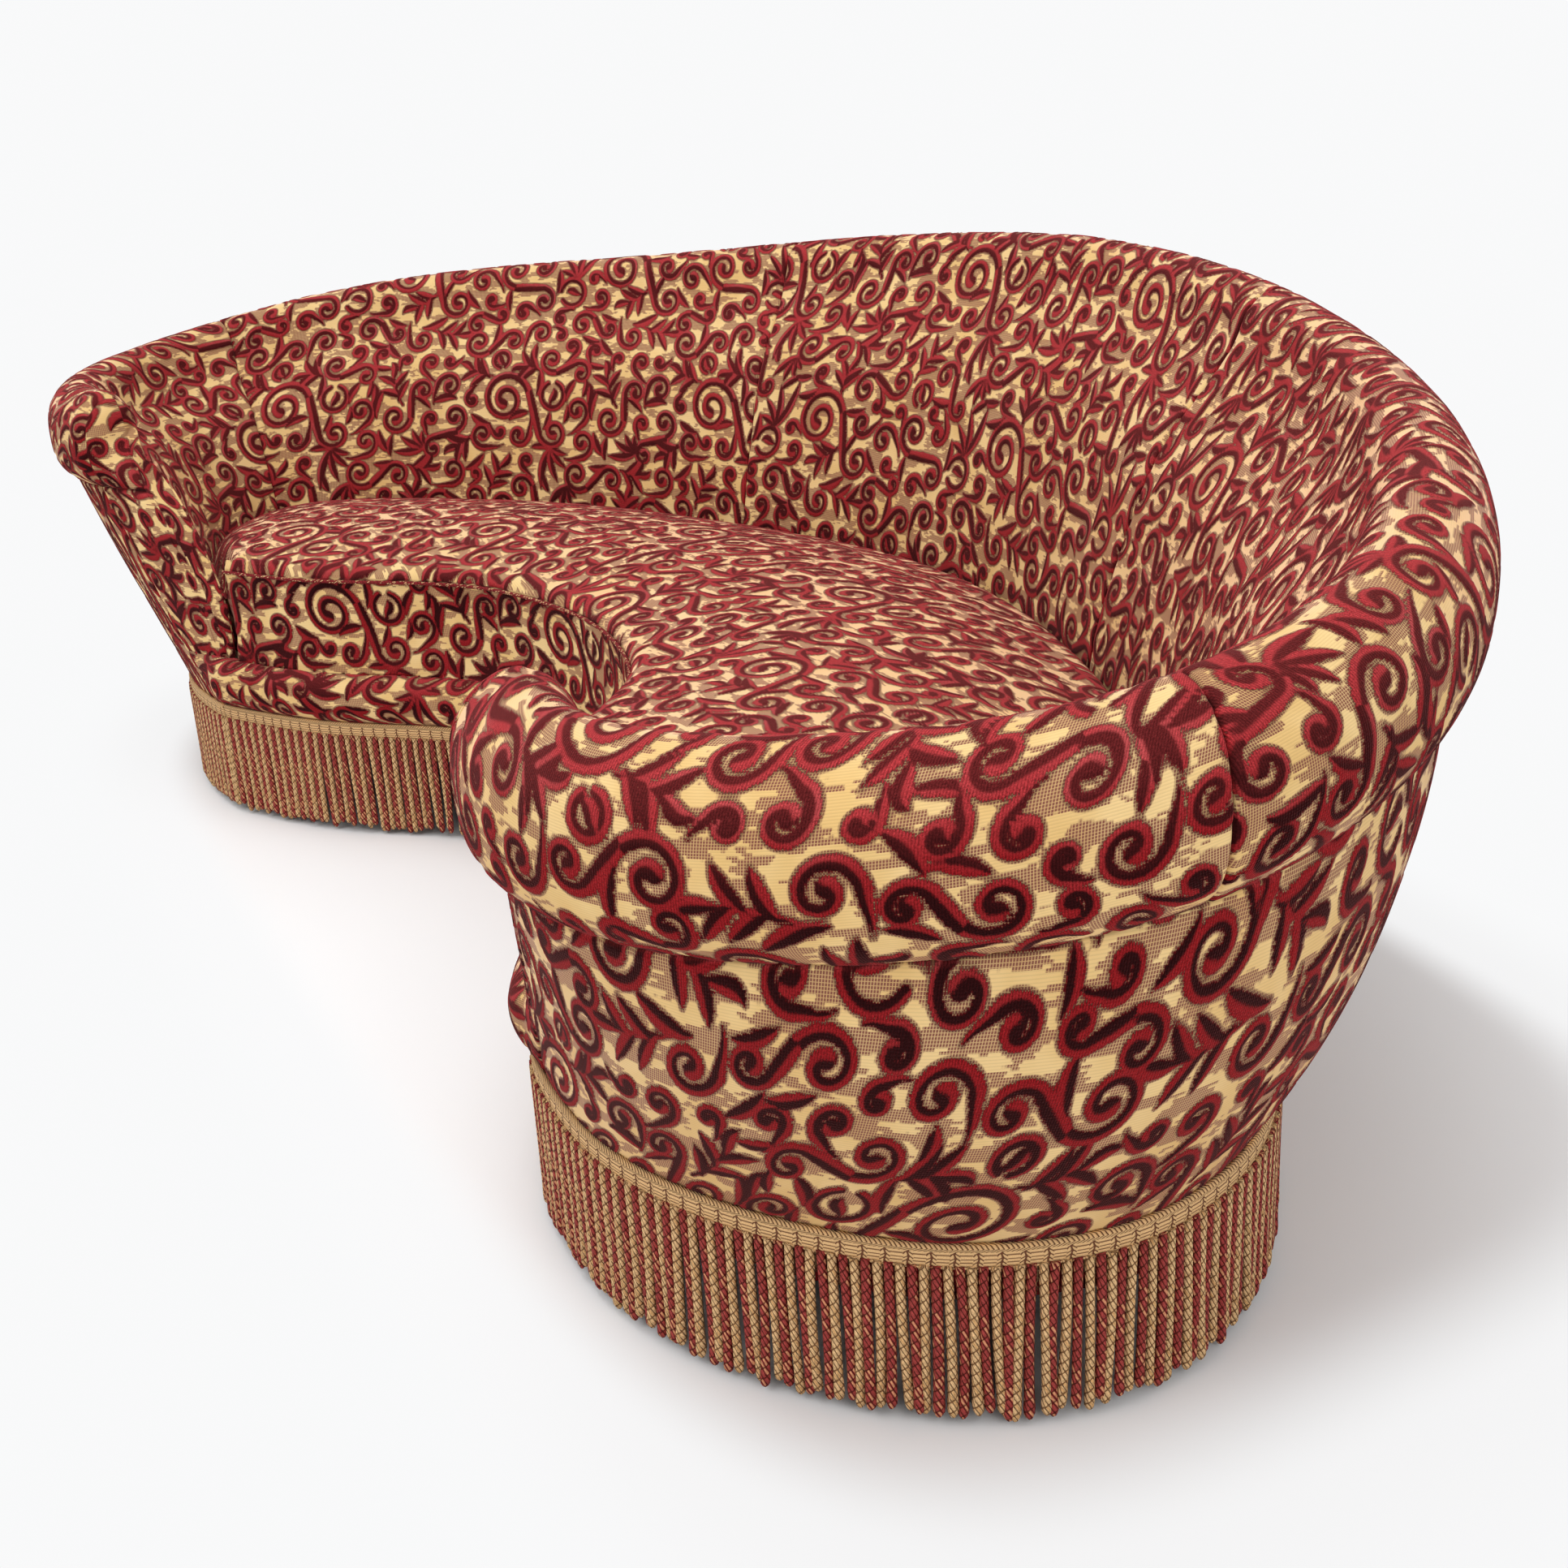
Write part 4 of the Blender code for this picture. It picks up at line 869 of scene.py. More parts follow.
# Degrees that the arm front turns through, its rings, and degrees covered by the inside's cloth
NOSE_TURN, NOSE_RINGS, SAME_CLOTH_TURN = 88.6, 32, 34
FOOT_RISE_STATION, FOOT_RISE_STATIONS = 10.6, 0.4
INSIDE_SEED, FRONT_SEED, OUTSIDE_SEED, BORDER_SEED, CUSHION_SEED = 3, 11, 21, 31, 41
GATHER_DEPTH, GATHER_PITCH, GATHER_HEIGHT = 0.0012, 0.017, 0.030
# From and to station of each width, and where the repeat starts on it
INSIDE_WIDTHS = {
    "inside_left_arm": (-11.0, -7.0, 0.07, 0.11),
    "inside_left_back": (-7.0, -2.0, 0.21, 0.05),
    "inside_centre_back": (-2.0, 2.0, 0.02, 0.30),
    "inside_right_back": (2.0, 7.0, 0.15, 0.22),
    "inside_right_arm": (7.0, 11.0, 0.29, 0.36),
}


def places_along(start, end, sample):
    """Stations between two, close to an even step along the longest row of the cloth."""
    fine = np.linspace(start, end, 160)
    run = lengths_along(sample(fine), 0)
    return np.interp(edge_shares(run[-1], CLOTH_STEP) * run[-1], run, fine)


def normals_towards(grid, sample_out):
    """Unit normals of a grid that point the way sample_out does."""
    outward = np.cross(np.gradient(grid, axis=0), np.gradient(grid, axis=1))
    outward /= np.maximum(np.linalg.norm(outward, axis=-1), 1e-12)[..., None]
    row = grid.shape[1] // 2
    same = (outward[:, row] * sample_out[:, row]).sum()
    return outward if same > 0 else -outward


def dressed(skin, outward, uv, from_seam, seed):
    """Pile, seams turned in and the soft unevenness of hand-laid padding on a grid."""
    grid, depth, side = with_pile(skin, uv, outward)
    u, v = uv[..., 0], uv[..., 1]
    uneven = UNEVEN * ripple(u, v, UNEVEN_SIZE, seed) * np.clip(from_seam / UNEVEN_FROM, 0, 1)
    uneven += PUCKER * ripple(u, v, PUCKER_SIZE, seed + 1) * np.exp(-from_seam / PUCKER_REACH)
    seam = SEAM_DEPTH * np.clip(1 - from_seam / SEAM_RADIUS, 0, 1) ** 2
    return grid + outward * (uneven - seam)[..., None], depth, side


def cover_mesh(name, skin, outward, uv, from_seam, seed, back):
    """A dressed skin, carried on round the rows of its hidden back to where it starts."""
    cloth, depth, side = dressed(skin, outward, uv, from_seam, seed)
    back = np.concatenate([back, cloth[:, :1]], 1)
    more = back.shape[1]
    uv = np.concatenate([uv, np.repeat(uv[:, -1:], more, 1)], 1)
    depth = np.concatenate([depth, np.full((len(cloth), more), NO_PILE)], 1)
    side = np.concatenate([side, np.zeros((len(cloth), more))], 1)
    mesh = grid_mesh(name, np.concatenate([cloth, back], 1), uv, depth, side)
    close_up(mesh)
    return mesh


def padding_back(places):
    """The hidden back of the padding, from the seat up to the seam under the roll."""
    rim = RIM.at(places)
    out = RIM.out(places)
    foot = at_level(BASE.at(places) - BASE.out(places)[..., :2] * PAD_ON_RAIL_INSET, FACE_FOOT)
    return np.stack([foot, rim - out * 0.012 - UP * 0.060, rim + out * 0.012 - UP * 0.020,
                     rim + out * 0.026 - UP * 0.070], 1)


def joined(name, parts):
    """Several meshes as one."""
    bm = bmesh.new()
    for part in parts:
        bm.from_mesh(part)
    mesh = bpy.data.meshes.new(name)
    bm.to_mesh(mesh)
    bm.free()
    for part in parts:
        bpy.data.meshes.remove(part)
    mesh.shade_smooth()
    return mesh


def face_foot(places):
    """The inside cover ends on the deck, and on the border at the arm fronts."""
    rise = smooth_step((abs(places) - FOOT_RISE_STATION) / FOOT_RISE_STATIONS)
    return FACE_FOOT + (NOSE_BOTTOM - FACE_FOOT) * rise


def inside_width(name, start, end, u0, v0):
    places = places_along(start, end, RIM.at)
    middle = (start + end) / 2
    skin_length = lengths_along(inside_skin(np.array([middle]), 200, FACE_FOOT), 0)[-1, 0]
    rows = edge_shares(skin_length, CLOTH_STEP)
    skin = inside_skin(places, rows, face_foot(places)).transpose(1, 0, 2)
    along = lengths_along(skin, 0)
    u = along - along[np.argmin(abs(places - middle))]
    down = lengths_along(skin, 1)
    uv = np.stack([u + u0, down[:, -1:] - down + v0], -1)
    towards_seat = np.repeat(-RIM.out(places)[:, None] + UP * 0.5, skin.shape[1], 1)
    seams = [down]
    if start > -LAST:
        seams.append(along)
    if end < LAST:
        seams.append(along[-1:] - along)
    mesh = cover_mesh(name, skin, normals_towards(skin, towards_seat), uv,
                      np.minimum.reduce(seams), INSIDE_SEED, padding_back(places))
    return mesh, skin, uv


def arm_front(hand, skin, uv, v0):
    """The rounded front of an arm, turned about the middle of the wall from its last section."""
    place = hand * LAST
    inner = skin[-1] if hand > 0 else skin[0]
    inner_uv = uv[-1] if hand > 0 else uv[0]
    top = panel_point(place, 0.0)
    low_share = (top[2] - NOSE_BOTTOM) / (top[2] - HEADING_TOP)
    outer = np.array([panel_point(place, low_share * s) for s in np.linspace(1, 0.02, 64)])

    # The middle of the wall at each height, where the face and the outside part at the roll
    rim = RIM.at(place)
    face = inner[inner[:, 2].argmax():]
    face = face[np.argsort(face[:, 2])]
    outer_up = outer[np.argsort(outer[:, 2])]
    loop = np.concatenate([inner, outer])
    is_outer = np.arange(len(loop)) >= len(inner)
    level = np.minimum(loop[:, 2], rim[2])
    share = np.clip((level - NOSE_BOTTOM) / (rim[2] - NOSE_BOTTOM), 0, 1)
    centre = np.stack([(np.interp(level, face[:, 2], face[:, k])
                        + np.interp(level, outer_up[:, 2], outer_up[:, k])) / 2
                       for k in range(2)], -1)
    blend = np.clip((share - 0.7) / 0.3, 0, 1)[:, None]
    centre = at_level(centre * (1 - blend) + rim[:2] * blend, level)

    # The section turns about that middle, a ring at a time
    ahead = (BASE.ahead(place) * hand * (1 - share[:, None])
             + RIM.ahead(place) * hand * share[:, None])
    turns = np.radians(np.linspace(0, NOSE_TURN, NOSE_RINGS))
    grid = np.array([centre + (loop - centre) * math.cos(angle)
                     + ahead * (NOSE_SEAM * is_outer[:, None] + NOSE_LENGTH * math.sin(angle))
                     for angle in turns])
    run = lengths_along(grid, 0)

    # The cloth is carried on from the inside cover and then lies flat across the front
    sideways = ((grid - centre) * RIM.out(place)).sum(-1)
    flat_u = np.sign(sideways) * (run[-1] - run)
    u_middle = inner_uv[len(inner) // 2, 0] + hand * run[-1, len(inner) // 2]
    nose_uv = np.stack([u_middle + hand * flat_u, grid[..., 2] - FACE_FOOT + v0], -1)
    carried = np.concatenate([inner_uv, nose_uv[0, len(inner):]])[None] + np.stack(
        [hand * run, 0 * run], -1)
    early = (turns < math.radians(SAME_CLOTH_TURN))[:, None] & ~is_outer[None]
    nose_uv = np.where(early[..., None], carried, nose_uv)

    outward = normals_towards(grid, grid - centre + ahead * 0.05)
    under = np.minimum(lengths_along(inner[:, None], 0)[:, 0], 1.0)
    from_seam = np.minimum(np.where(is_outer, run, 1.0),
                           np.concatenate([under, 1.0 + 0 * outer[:, 0]]))
    cloth, depth, side = dressed(grid, outward, nose_uv, from_seam, FRONT_SEED)
    gathers = np.exp(-(grid[..., 2] - NOSE_BOTTOM) / GATHER_HEIGHT) * smooth_step(run / 0.02)
    cloth += outward * (GATHER_DEPTH * np.sin(run * 2 * math.pi / GATHER_PITCH)
                        * gathers)[..., None]
    mesh = grid_mesh("arm_front", *(np.concatenate([x, x[:, :1]], 1)
                                    for x in (cloth, nose_uv, depth, side)))
    close_up(mesh)
    return mesh


for width_name, (start, end, u0, v0) in INSIDE_WIDTHS.items():
    mesh, skin, uv = inside_width(width_name, start, end, u0, v0)
    for hand, place in ((-1, start), (1, end)):
        if place == hand * LAST:
            mesh = joined(width_name + "_cover", [mesh, arm_front(hand, skin, uv, v0)])
    cover = add_piece(width_name + "_cover", mesh, velvet, "sofa", "cut_velvet", width_name)


# Outside covers: three widths hang from the seam under the roll, sewn by hand along it, and are
# tacked under the base rail behind the fringe.
OUTSIDE_WIDTHS = {
    "outside_left_arm": (-11.0, -4.0, 0.10, 0.20),
    "outside_back": (-4.0, 4.0, 0.0, 0.10),
    "outside_right_arm": (4.0, 11.0, 0.24, 0.31),
}
COVER_INSET = 0.010
COVER_STEP = 0.0042
COVER_STRETCH = 0.60
# Heights of the rows behind the fringe, and how far down the rows of the hidden back are
HEM_LEVELS = (0.178, 0.150, COVER_BOTTOM)
BACK_SHARES = (1.0, 0.66, 0.33, 0.01)

for width_name, (start, end, u0, v0) in OUTSIDE_WIDTHS.items():
    places = places_along(start, end, lambda p: panel_point(p, 0.4))
    fall = lengths_along(np.array([panel_point(places[len(places) // 2], s)
                                   for s in np.linspace(0, 1, 60)])[:, None], 0)[-1, 0]
    shares = edge_shares(fall, COVER_STEP)
    rows = [panel_point(places, s) for s in shares[shares < 0.999]]
    foot = panel_point(places, 1.0)
    rows += [foot] + [at_level(foot, z) for z in HEM_LEVELS]
    skin = np.stack(rows, 1)
    along = lengths_along(skin, 0)
    down = lengths_along(skin, 1)
    uv = np.stack([along - along[len(along) // 2] + u0,
                   (down[:, -1:] - down) * COVER_STRETCH + v0], -1)
    outward = normals_towards(skin, np.repeat(RIM.out(places)[:, None], skin.shape[1], 1))
    back = [at_level(foot, COVER_BOTTOM) - outward[:, -1] * COVER_INSET]
    back += [panel_point(places, s, COVER_INSET) for s in BACK_SHARES]
    from_seam = np.minimum.reduce([along, along[-1:] - along, down])
    mesh = cover_mesh(width_name, skin, outward, uv, from_seam, OUTSIDE_SEED, np.stack(back, 1))
    cover = add_piece(width_name + "_cover", mesh, velvet, "sofa", "cut_velvet", width_name)


# Deck border: a roll of the same velvet over stitched padding, along the front rail and under the
# cushion's edge. Its ends are tucked behind the arm fronts, its foot is tacked behind the fringe.
BORDER_BULGE = 0.022
BORDER_DEPTH, BORDER_DEPTH_AT_ARM = 0.044, 0.0125
BORDER_TOP = 0.2590
BORDER_OUT_SHARES = (0.0, 0.65, 1.0, 0.7, 0.0)
BORDER_RISE_SHARES = (0.0, 0.18, 0.5, 0.85, 1.0)
BORDER_BACK, BORDER_BACK_BOTTOM = -0.0112, 0.2349
BORDER_HEM_LEVELS = (COVER_BOTTOM, 0.160)
BORDER_MAP_START = (0.05, 0.17)
BORDER_ROWS = 38

places = places_along(LAST + 0.012, BASE_COUNT - LAST - 0.012, BASE.at)
from_arm = np.minimum(places, BASE_COUNT - places) - LAST
bulge = BORDER_BULGE * np.sin(math.pi / 2 * np.clip(from_arm / 0.9, 0, 1))
depth_in = BORDER_DEPTH_AT_ARM + (BORDER_DEPTH - BORDER_DEPTH_AT_ARM) * smooth_step(
    (from_arm - 1.3) / 0.3)
at_arm = smooth_step(1 - from_arm * 3)[:, None]
base = at_level(BASE.at(places), 0.0)
base_out = BASE.out(places)


def border_row(out, z):
    """A row of the border, beside the slanting end of the arm's outside cover at its ends."""
    row = base.copy()
    for hand in (1, -1):
        mine = places < BASE_COUNT / 2 if hand > 0 else places >= BASE_COUNT / 2
        top = panel_point(hand * LAST, 0.0)[2]
        share = min(1.0, (top - z) / (top - HEADING_TOP))
        edge = panel_point(hand * LAST, share) + BASE.ahead(hand * LAST) * hand * NOSE_SEAM
        shift = edge - at_level(BASE.at(hand * LAST), 0.0)
        row[mine] += (at_arm * shift)[mine]
    return at_level(row + base_out * np.asarray(out)[..., None], z)


rise = BORDER_TOP - HEADING_TOP
profile = [border_row(bulge * o, HEADING_TOP + rise * r)
           for o, r in zip(BORDER_OUT_SHARES, BORDER_RISE_SHARES)]
profile += [border_row(-depth_in * s, BORDER_TOP) for s in (0.5, 1.0)]
skin = through(np.array(profile), BORDER_ROWS).transpose(1, 0, 2)
skin[..., 2] = np.minimum(skin[..., 2], BORDER_TOP)
lower = [border_row(0 * bulge, z) for z in BORDER_HEM_LEVELS]
skin = np.concatenate([np.stack(lower, 1), skin], 1)
along = lengths_along(skin, 0)
uv = np.stack([along - along[len(along) // 2], lengths_along(skin, 1)], -1) + BORDER_MAP_START
outward = normals_towards(skin, np.repeat(base_out[:, None], skin.shape[1], 1))
back = [border_row(-depth_in, BORDER_BACK_BOTTOM)]
back += [border_row(0 * bulge + BORDER_BACK, z) for z in (BORDER_BACK_BOTTOM, COVER_BOTTOM)]
mesh = cover_mesh("deck_border", skin, outward, uv, np.minimum(along, along[-1:] - along),
                  BORDER_SEED, np.stack(back, 1))
border = add_piece("deck_border_cover", mesh, velvet, "sofa", "cut_velvet", "deck_border")


# Seat cushion: one long crescent case of velvet, with a boxed edge and piping round the top seam.
# It is filled with a soft core, so the top is crowned.
CUSHION_BOTTOM = 0.2595
CUSHION_TOP = CUSHION_BOTTOM + 0.160
FRONT_INSET, BACK_INSET = 0.004, 0.008
REAR_FALL, CROWN, BOXING_DRAW, CORNER = 0.045, 0.042, 0.005, 0.014
CROWN_SHARES = (0.0, 0.06, 0.17, 0.33, 0.5, 0.67, 0.83, 0.94, 1.0)
CUSHION_ROWS, TOP_ROWS, FRONT_ROWS, REAR_ROWS, FLOOR_ROWS = 39, 160, 36, 26, 6
BOXING_MAP_START, TOP_MAP_START = (0.13, 0.02), (0.09, 0.27)
LEAST_FROM_WELT = 0.003


def drawn_in(fronts, backs, front_inset, back_inset):
    """The rows' ends moved inside the outline they make, square to it."""
    loop = np.concatenate([fronts, backs[::-1]])
    insets = np.array([front_inset] * len(fronts) + [back_inset] * len(backs))
    before = loop - np.roll(loop, 1, axis=0)
    after = np.roll(loop, -1, axis=0) - loop
    before /= np.linalg.norm(before, axis=1)[:, None]
    after /= np.linalg.norm(after, axis=1)[:, None]
    normal = np.stack([-(before + after)[:, 1], (before + after)[:, 0]], axis=1)
    normal /= np.linalg.norm(normal, axis=1)[:, None]
    mitre = 1 / np.maximum(0.4, normal[:, 0] * -before[:, 1] + normal[:, 1] * before[:, 0])
    moved = loop + normal * (insets * mitre)[:, None]
    return moved[:len(fronts)], moved[len(fronts):][::-1]


spread = np.linspace(-1, 1, CUSHION_ROWS)
crowded = np.sign(spread) * (1 - (1 - abs(spread)) ** 1.2)
fronts = BASE.at((FRONT_START + FRONT_END) / 2 - crowded * (FRONT_END - FRONT_START) / 2)
backs = SEAT.at(spread * (LAST + 1))
outer, waist, corner = (drawn_in(fronts, backs, FRONT_INSET + more, BACK_INSET + more)
                        for more in (0, BOXING_DRAW, CORNER * 0.4))
front_welt = CUSHION_TOP - CORNER
rear_welt = front_welt - REAR_FALL
fade = 1 - abs(spread) ** 5
crown_rows = [at_level(outer[0], front_welt)]
for s in CROWN_SHARES:
    height = (CUSHION_TOP - REAR_FALL * s**1.5
              + CROWN * fade * math.sin(math.pi * s) ** 0.8)
    crown_rows.append(at_level(corner[0] * (1 - s) + corner[1] * s, height))
crown_rows.append(at_level(outer[1], rear_welt))
front_rows, rear_rows = ([at_level(outer[end], CUSHION_BOTTOM),
                          at_level(waist[end], (CUSHION_BOTTOM + welt) / 2),
                          at_level(outer[end], welt)]
                         for end, welt in ((0, front_welt), (1, rear_welt)))
CUSHION_STEP = 0.0048
columns = round(lengths_along(np.array(crown_rows).transpose(1, 0, 2), 0)[-1].mean()
                / CUSHION_STEP)


def cushion_part(rows, count):
    carried = through(np.array(rows).transpose(1, 0, 2), columns)
    return through(carried.transpose(1, 0, 2), count).transpose(1, 0, 2)


def boxing_map(part):
    return np.stack([lengths_along(part, 0), part[..., 2]], -1) + BOXING_MAP_START


def flat_map(part):
    return part[..., :2] + TOP_MAP_START


top_part = cushion_part(crown_rows, TOP_ROWS)
front_part = cushion_part(front_rows, FRONT_ROWS)
rear_part = cushion_part(rear_rows[::-1], REAR_ROWS)
floor_part = np.stack([rear_part[:, -1] * (1 - s) + front_part[:, 0] * s
                       for s in np.linspace(0, 1, FLOOR_ROWS + 1)], 1)
round_it = ((front_part, boxing_map), (top_part, flat_map), (rear_part, boxing_map),
            (floor_part, flat_map))
grid = np.concatenate([part[:, k > 0:] for k, (part, _) in enumerate(round_it)], 1)
uv = np.concatenate([of(part)[:, k > 0:] for k, (part, of) in enumerate(round_it)], 1)
outward = normals_towards(grid, grid - grid.mean(1, keepdims=True))
from_welt = np.minimum(np.linalg.norm(grid - front_part[:, -1:], axis=-1),
                       np.linalg.norm(grid - rear_part[:, :1], axis=-1))
cloth, depth, side = dressed(grid, outward, uv, np.maximum(from_welt, LEAST_FROM_WELT),
                             CUSHION_SEED)
cloth[:, -FLOOR_ROWS:] = grid[:, -FLOOR_ROWS:]
cloth[..., 2] = np.maximum(cloth[..., 2], CUSHION_BOTTOM)
mesh = grid_mesh("cushion_cover", cloth, uv, depth, side)
close_up(mesh)
cushion = add_piece("seat_cushion", mesh, velvet, "cushion", "cut_velvet", "cushion_cover")


# Foam, and a darker foam colour for the yellowed skin, also painted into the open cells as shade.
CORE_FOAM, FOAM_YELLOWED_AND_PORE_SHADE = (0.66, 0.60, 0.40), (0.52, 0.45, 0.28)


def foam_material():
    """Cut polyether foam, with a slightly yellowed skin and open cells painted darker as shade."""
    n = Finish("cushion_foam", 0.95)
    place = n.place()
    cells = n.noise(place, 700.0)
    aged = n.between(n.noise(place, 6.0, 3.0), 0.35, 0.7)
    colour = n.mix(n.between(cells, 0.5, 0.7, 0.0, 0.4), n.mix(aged, CORE_FOAM, FOAM_YELLOWED_AND_PORE_SHADE),
                   FOAM_YELLOWED_AND_PORE_SHADE)
    return n.surface({"Base Color": colour, "Normal": n.bump(cells, 0.0006, 0.7)})


finish_node("cushion_core", foam_material())


# Piping: a thin twisted cord, burgundy with gold flecks, sewn into the top seam all round the
# cushion.
PIPING_RADIUS, PIPING_OUT = 0.0026, 0.0022
PIPING_SECTIONS, PIPING_SIDES = 900, 8

welt_line = np.concatenate([front_part[::3, -1], rear_part[::3, 0][::-1]])
welt_line = np.concatenate([welt_line, welt_line[:1]])
welt_line = spaced(welt_line[:, None], PIPING_SECTIONS)[:-1, 0]
piping_out = np.gradient(welt_line, axis=0)
piping_out = np.stack([piping_out[:, 1], -piping_out[:, 0], 0 * piping_out[:, 0]], -1)
piping_out /= np.linalg.norm(piping_out, axis=1)[:, None]
turns = np.linspace(0, 2 * math.pi, PIPING_SIDES + 1)
tube = (welt_line[:, None] + piping_out[:, None] * (PIPING_OUT + PIPING_RADIUS * np.cos(turns))[
    None, :, None] + UP * (PIPING_RADIUS * np.sin(turns))[None, :, None])
tube = np.concatenate([tube, tube[:1]])
run = lengths_along(tube, 0)
tube_uv = np.stack([run, np.broadcast_to(turns / (2 * math.pi), run.shape)], -1)


def twisted_material(name, ground, fleck, fleck_share, pitch, depth):
    """Plies laid round each other, by the cord's own map: run in metres, turn in shares."""
    n = Finish(name, 0.72)
    run, around = n.parts(n.cloth())[:2]
    run = run / pitch
    lay = run + around
    cross = (run * 0.46 - around) * 6.0
    ply, strand = n.arch(lay * 2.0), n.arch(cross)
    height = ply ** 0.5 * n.between(strand ** 0.6, 0.0, 1.0, 0.10, 1.0)
    chosen = n.chosen(n.math("FLOOR", cross) + n.math("FLOOR", lay * 2.0) * 7.3)
    flecked = n.math("LESS_THAN", chosen, fleck_share) * n.between(strand, 0.60, 0.90)
    threads = n.value("CombineXYZ", cross * 4.0, lay * 5.0)
    lustre = n.between(n.noise(threads, 1.0, 1.0, 0.5, "2D"), 0.25, 0.75, 0.74, 1.16)
    colour = n.darkened(n.mix(flecked, ground, fleck), lustre)
    # Painted shadow in the grooves between the plies and strands.
    shadow = n.mix(n.between(height, 0.22, 0.66), PAINTED_PLY_SHADOW, (1.0, 1.0, 1.0))
    return n.surface({"Base Color": n.mix(1.0, colour, shadow, "MULTIPLY"),
                      "Normal": n.bump(height, depth, 0.9), "Specular IOR Level": 0.10})


CORD_GOLD, CORD_GOLD_DEEP = (0.80, 0.515, 0.255), (0.66, 0.375, 0.155)
# Burgundy for the piping, and a painted shadow colour for the grooves between plies.
PIPING_RED, PAINTED_PLY_SHADOW = (0.25, 0.020, 0.024), (0.27, 0.20, 0.17)
PIPING_PITCH, PIPING_RELIEF = 0.012, 0.0006
piping = twisted_material("piping_cord", PIPING_RED, CORD_GOLD, 0.30, PIPING_PITCH, PIPING_RELIEF)
mesh = grid_mesh("cushion_piping", tube, tube_uv)
close_up(mesh)
add_piece("cushion_top_piping", mesh, piping, "cushion", "cut_velvet", "cushion_piping")


# Deck: a thin cotton pad on the burlap, under a plain woven lining cloth that is tacked down all
# round. It shows when the cushion is lifted.
DECK_LOW, DECK_HIGH = 0.2352, 0.2588
DECK_FRONT_INSET, DECK_BACK_INSET = 0.0455, 0.0015
# How much sooner than the cushion the lining ends at each side, in stations
DECK_SHORT, DECK_BACK_SHORT = 0.25, 0.2
DECK_COLUMNS, DECK_ROWS = 240, 13
DECK_EDGE = ((0, DECK_LOW), (0, DECK_HIGH - 0.006), (0.004, DECK_HIGH - 0.001))


def deck_row(share, z):
    return at_level(deck_rows[0] * (1 - share) + deck_rows[1] * share, z)


half_run = (FRONT_END - FRONT_START) / 2 - DECK_SHORT
deck_fronts = BASE.at((FRONT_START + FRONT_END) / 2 - crowded * half_run)
deck_backs = SEAT.at(spread * (LAST - DECK_BACK_SHORT))
deck_rows = drawn_in(deck_fronts, deck_backs, DECK_FRONT_INSET, DECK_BACK_INSET)
deck_profile = [deck_row(s, z) for s, z in DECK_EDGE]
deck_profile += [deck_row(s, DECK_HIGH) for s in np.linspace(0.02, 0.98, DECK_ROWS)]
deck_profile += [deck_row(1 - s, z) for s, z in DECK_EDGE[::-1]]
deck = through(np.array(deck_profile).transpose(1, 0, 2), DECK_COLUMNS)
deck = np.concatenate([deck, deck[:, :1]], 1)
mesh = grid_mesh("deck_lining", deck, deck[..., :2])
close_up(mesh)


LINING_LIGHT, LINING_DARK = (0.50, 0.36, 0.20), (0.33, 0.22, 0.12)
lining = woven_material("deck_lining", LINING_LIGHT, LINING_DARK, 900, 0.85, 0.0003)
deck_lining = add_piece("deck_lining", mesh, lining, "sofa", "foam", "deck_pad")


# Fringe: a woven gold heading braid, sewn on round the base over the covers' edge, and bullion
# cords that hang from it to the floor. Each cord is two twists doubled, gold and burgundy by turns.
CORD_BURGUNDY, CORD_FLECK = (0.37, 0.056, 0.048), (0.66, 0.30, 0.15)
# The braid's gold, and a painted shadow colour for its low places.
BRAID_GOLD, PAINTED_BRAID_SHADOW = (0.84, 0.56, 0.28), (0.15, 0.055, 0.026)
TWIST_PITCH, TWIST_RELIEF = 0.0224, 0.0018
PICK_HEIGHT, STITCH_PITCH = 0.0036, 0.0042
HEADING_HEIGHT = 0.024
CORD_RADIUS = 0.0047
CORD_PITCH = 0.0096
CORD_TIP = 0.010
CORD_OUT = 0.0052
CORD_SIDES = 6
# How far the cords' lengths, places and thickness vary
TIP_SPREAD, THICK_SPREAD, TWIST_SPREAD = (-0.0055, 0.0060), (0.93, 1.06), (0, 0.02)
LEAN, SWING, BEND = 0.0024, 0.0012, 0.0013
CORD_HIDDEN = 0.004
BRAID_STEP, SCALLOP = 0.004, 0.0004
# How the cord's thickness swells to its loop end, by shares of its length
CORD_SWELL = ((0, 0.84, 0.94, 0.978, 1.0), (0.93, 1.0, 1.14, 1.0, 0.35))
CORD_RINGS = (0.0, 0.17, 0.34, 0.51, 0.68, 0.84, 0.93, 0.965, 0.988, 1.0)
FRINGE_CORNER = LAST + 0.6
RUNS = {
    "front": (FRINGE_CORNER, BASE_COUNT - FRINGE_CORNER),
    "left": (BASE_COUNT - FRINGE_CORNER, BASE_COUNT - 4.0),
    "back": (-4.0, 4.0),
    "right": (4.0, FRINGE_CORNER),
}
BRAID_OUT = (0.0006, 0.0046, 0.0058, 0.0048, 0.0052, 0.0058, 0.0050, 0.0056, 0.0062, 0.0040,
             0.0006)
BRAID_UP = (0.0, 0.0002, 0.0025, 0.0050, 0.0085, 0.0120, 0.0155, 0.0178, 0.0208, 0.0238, 0.0240)


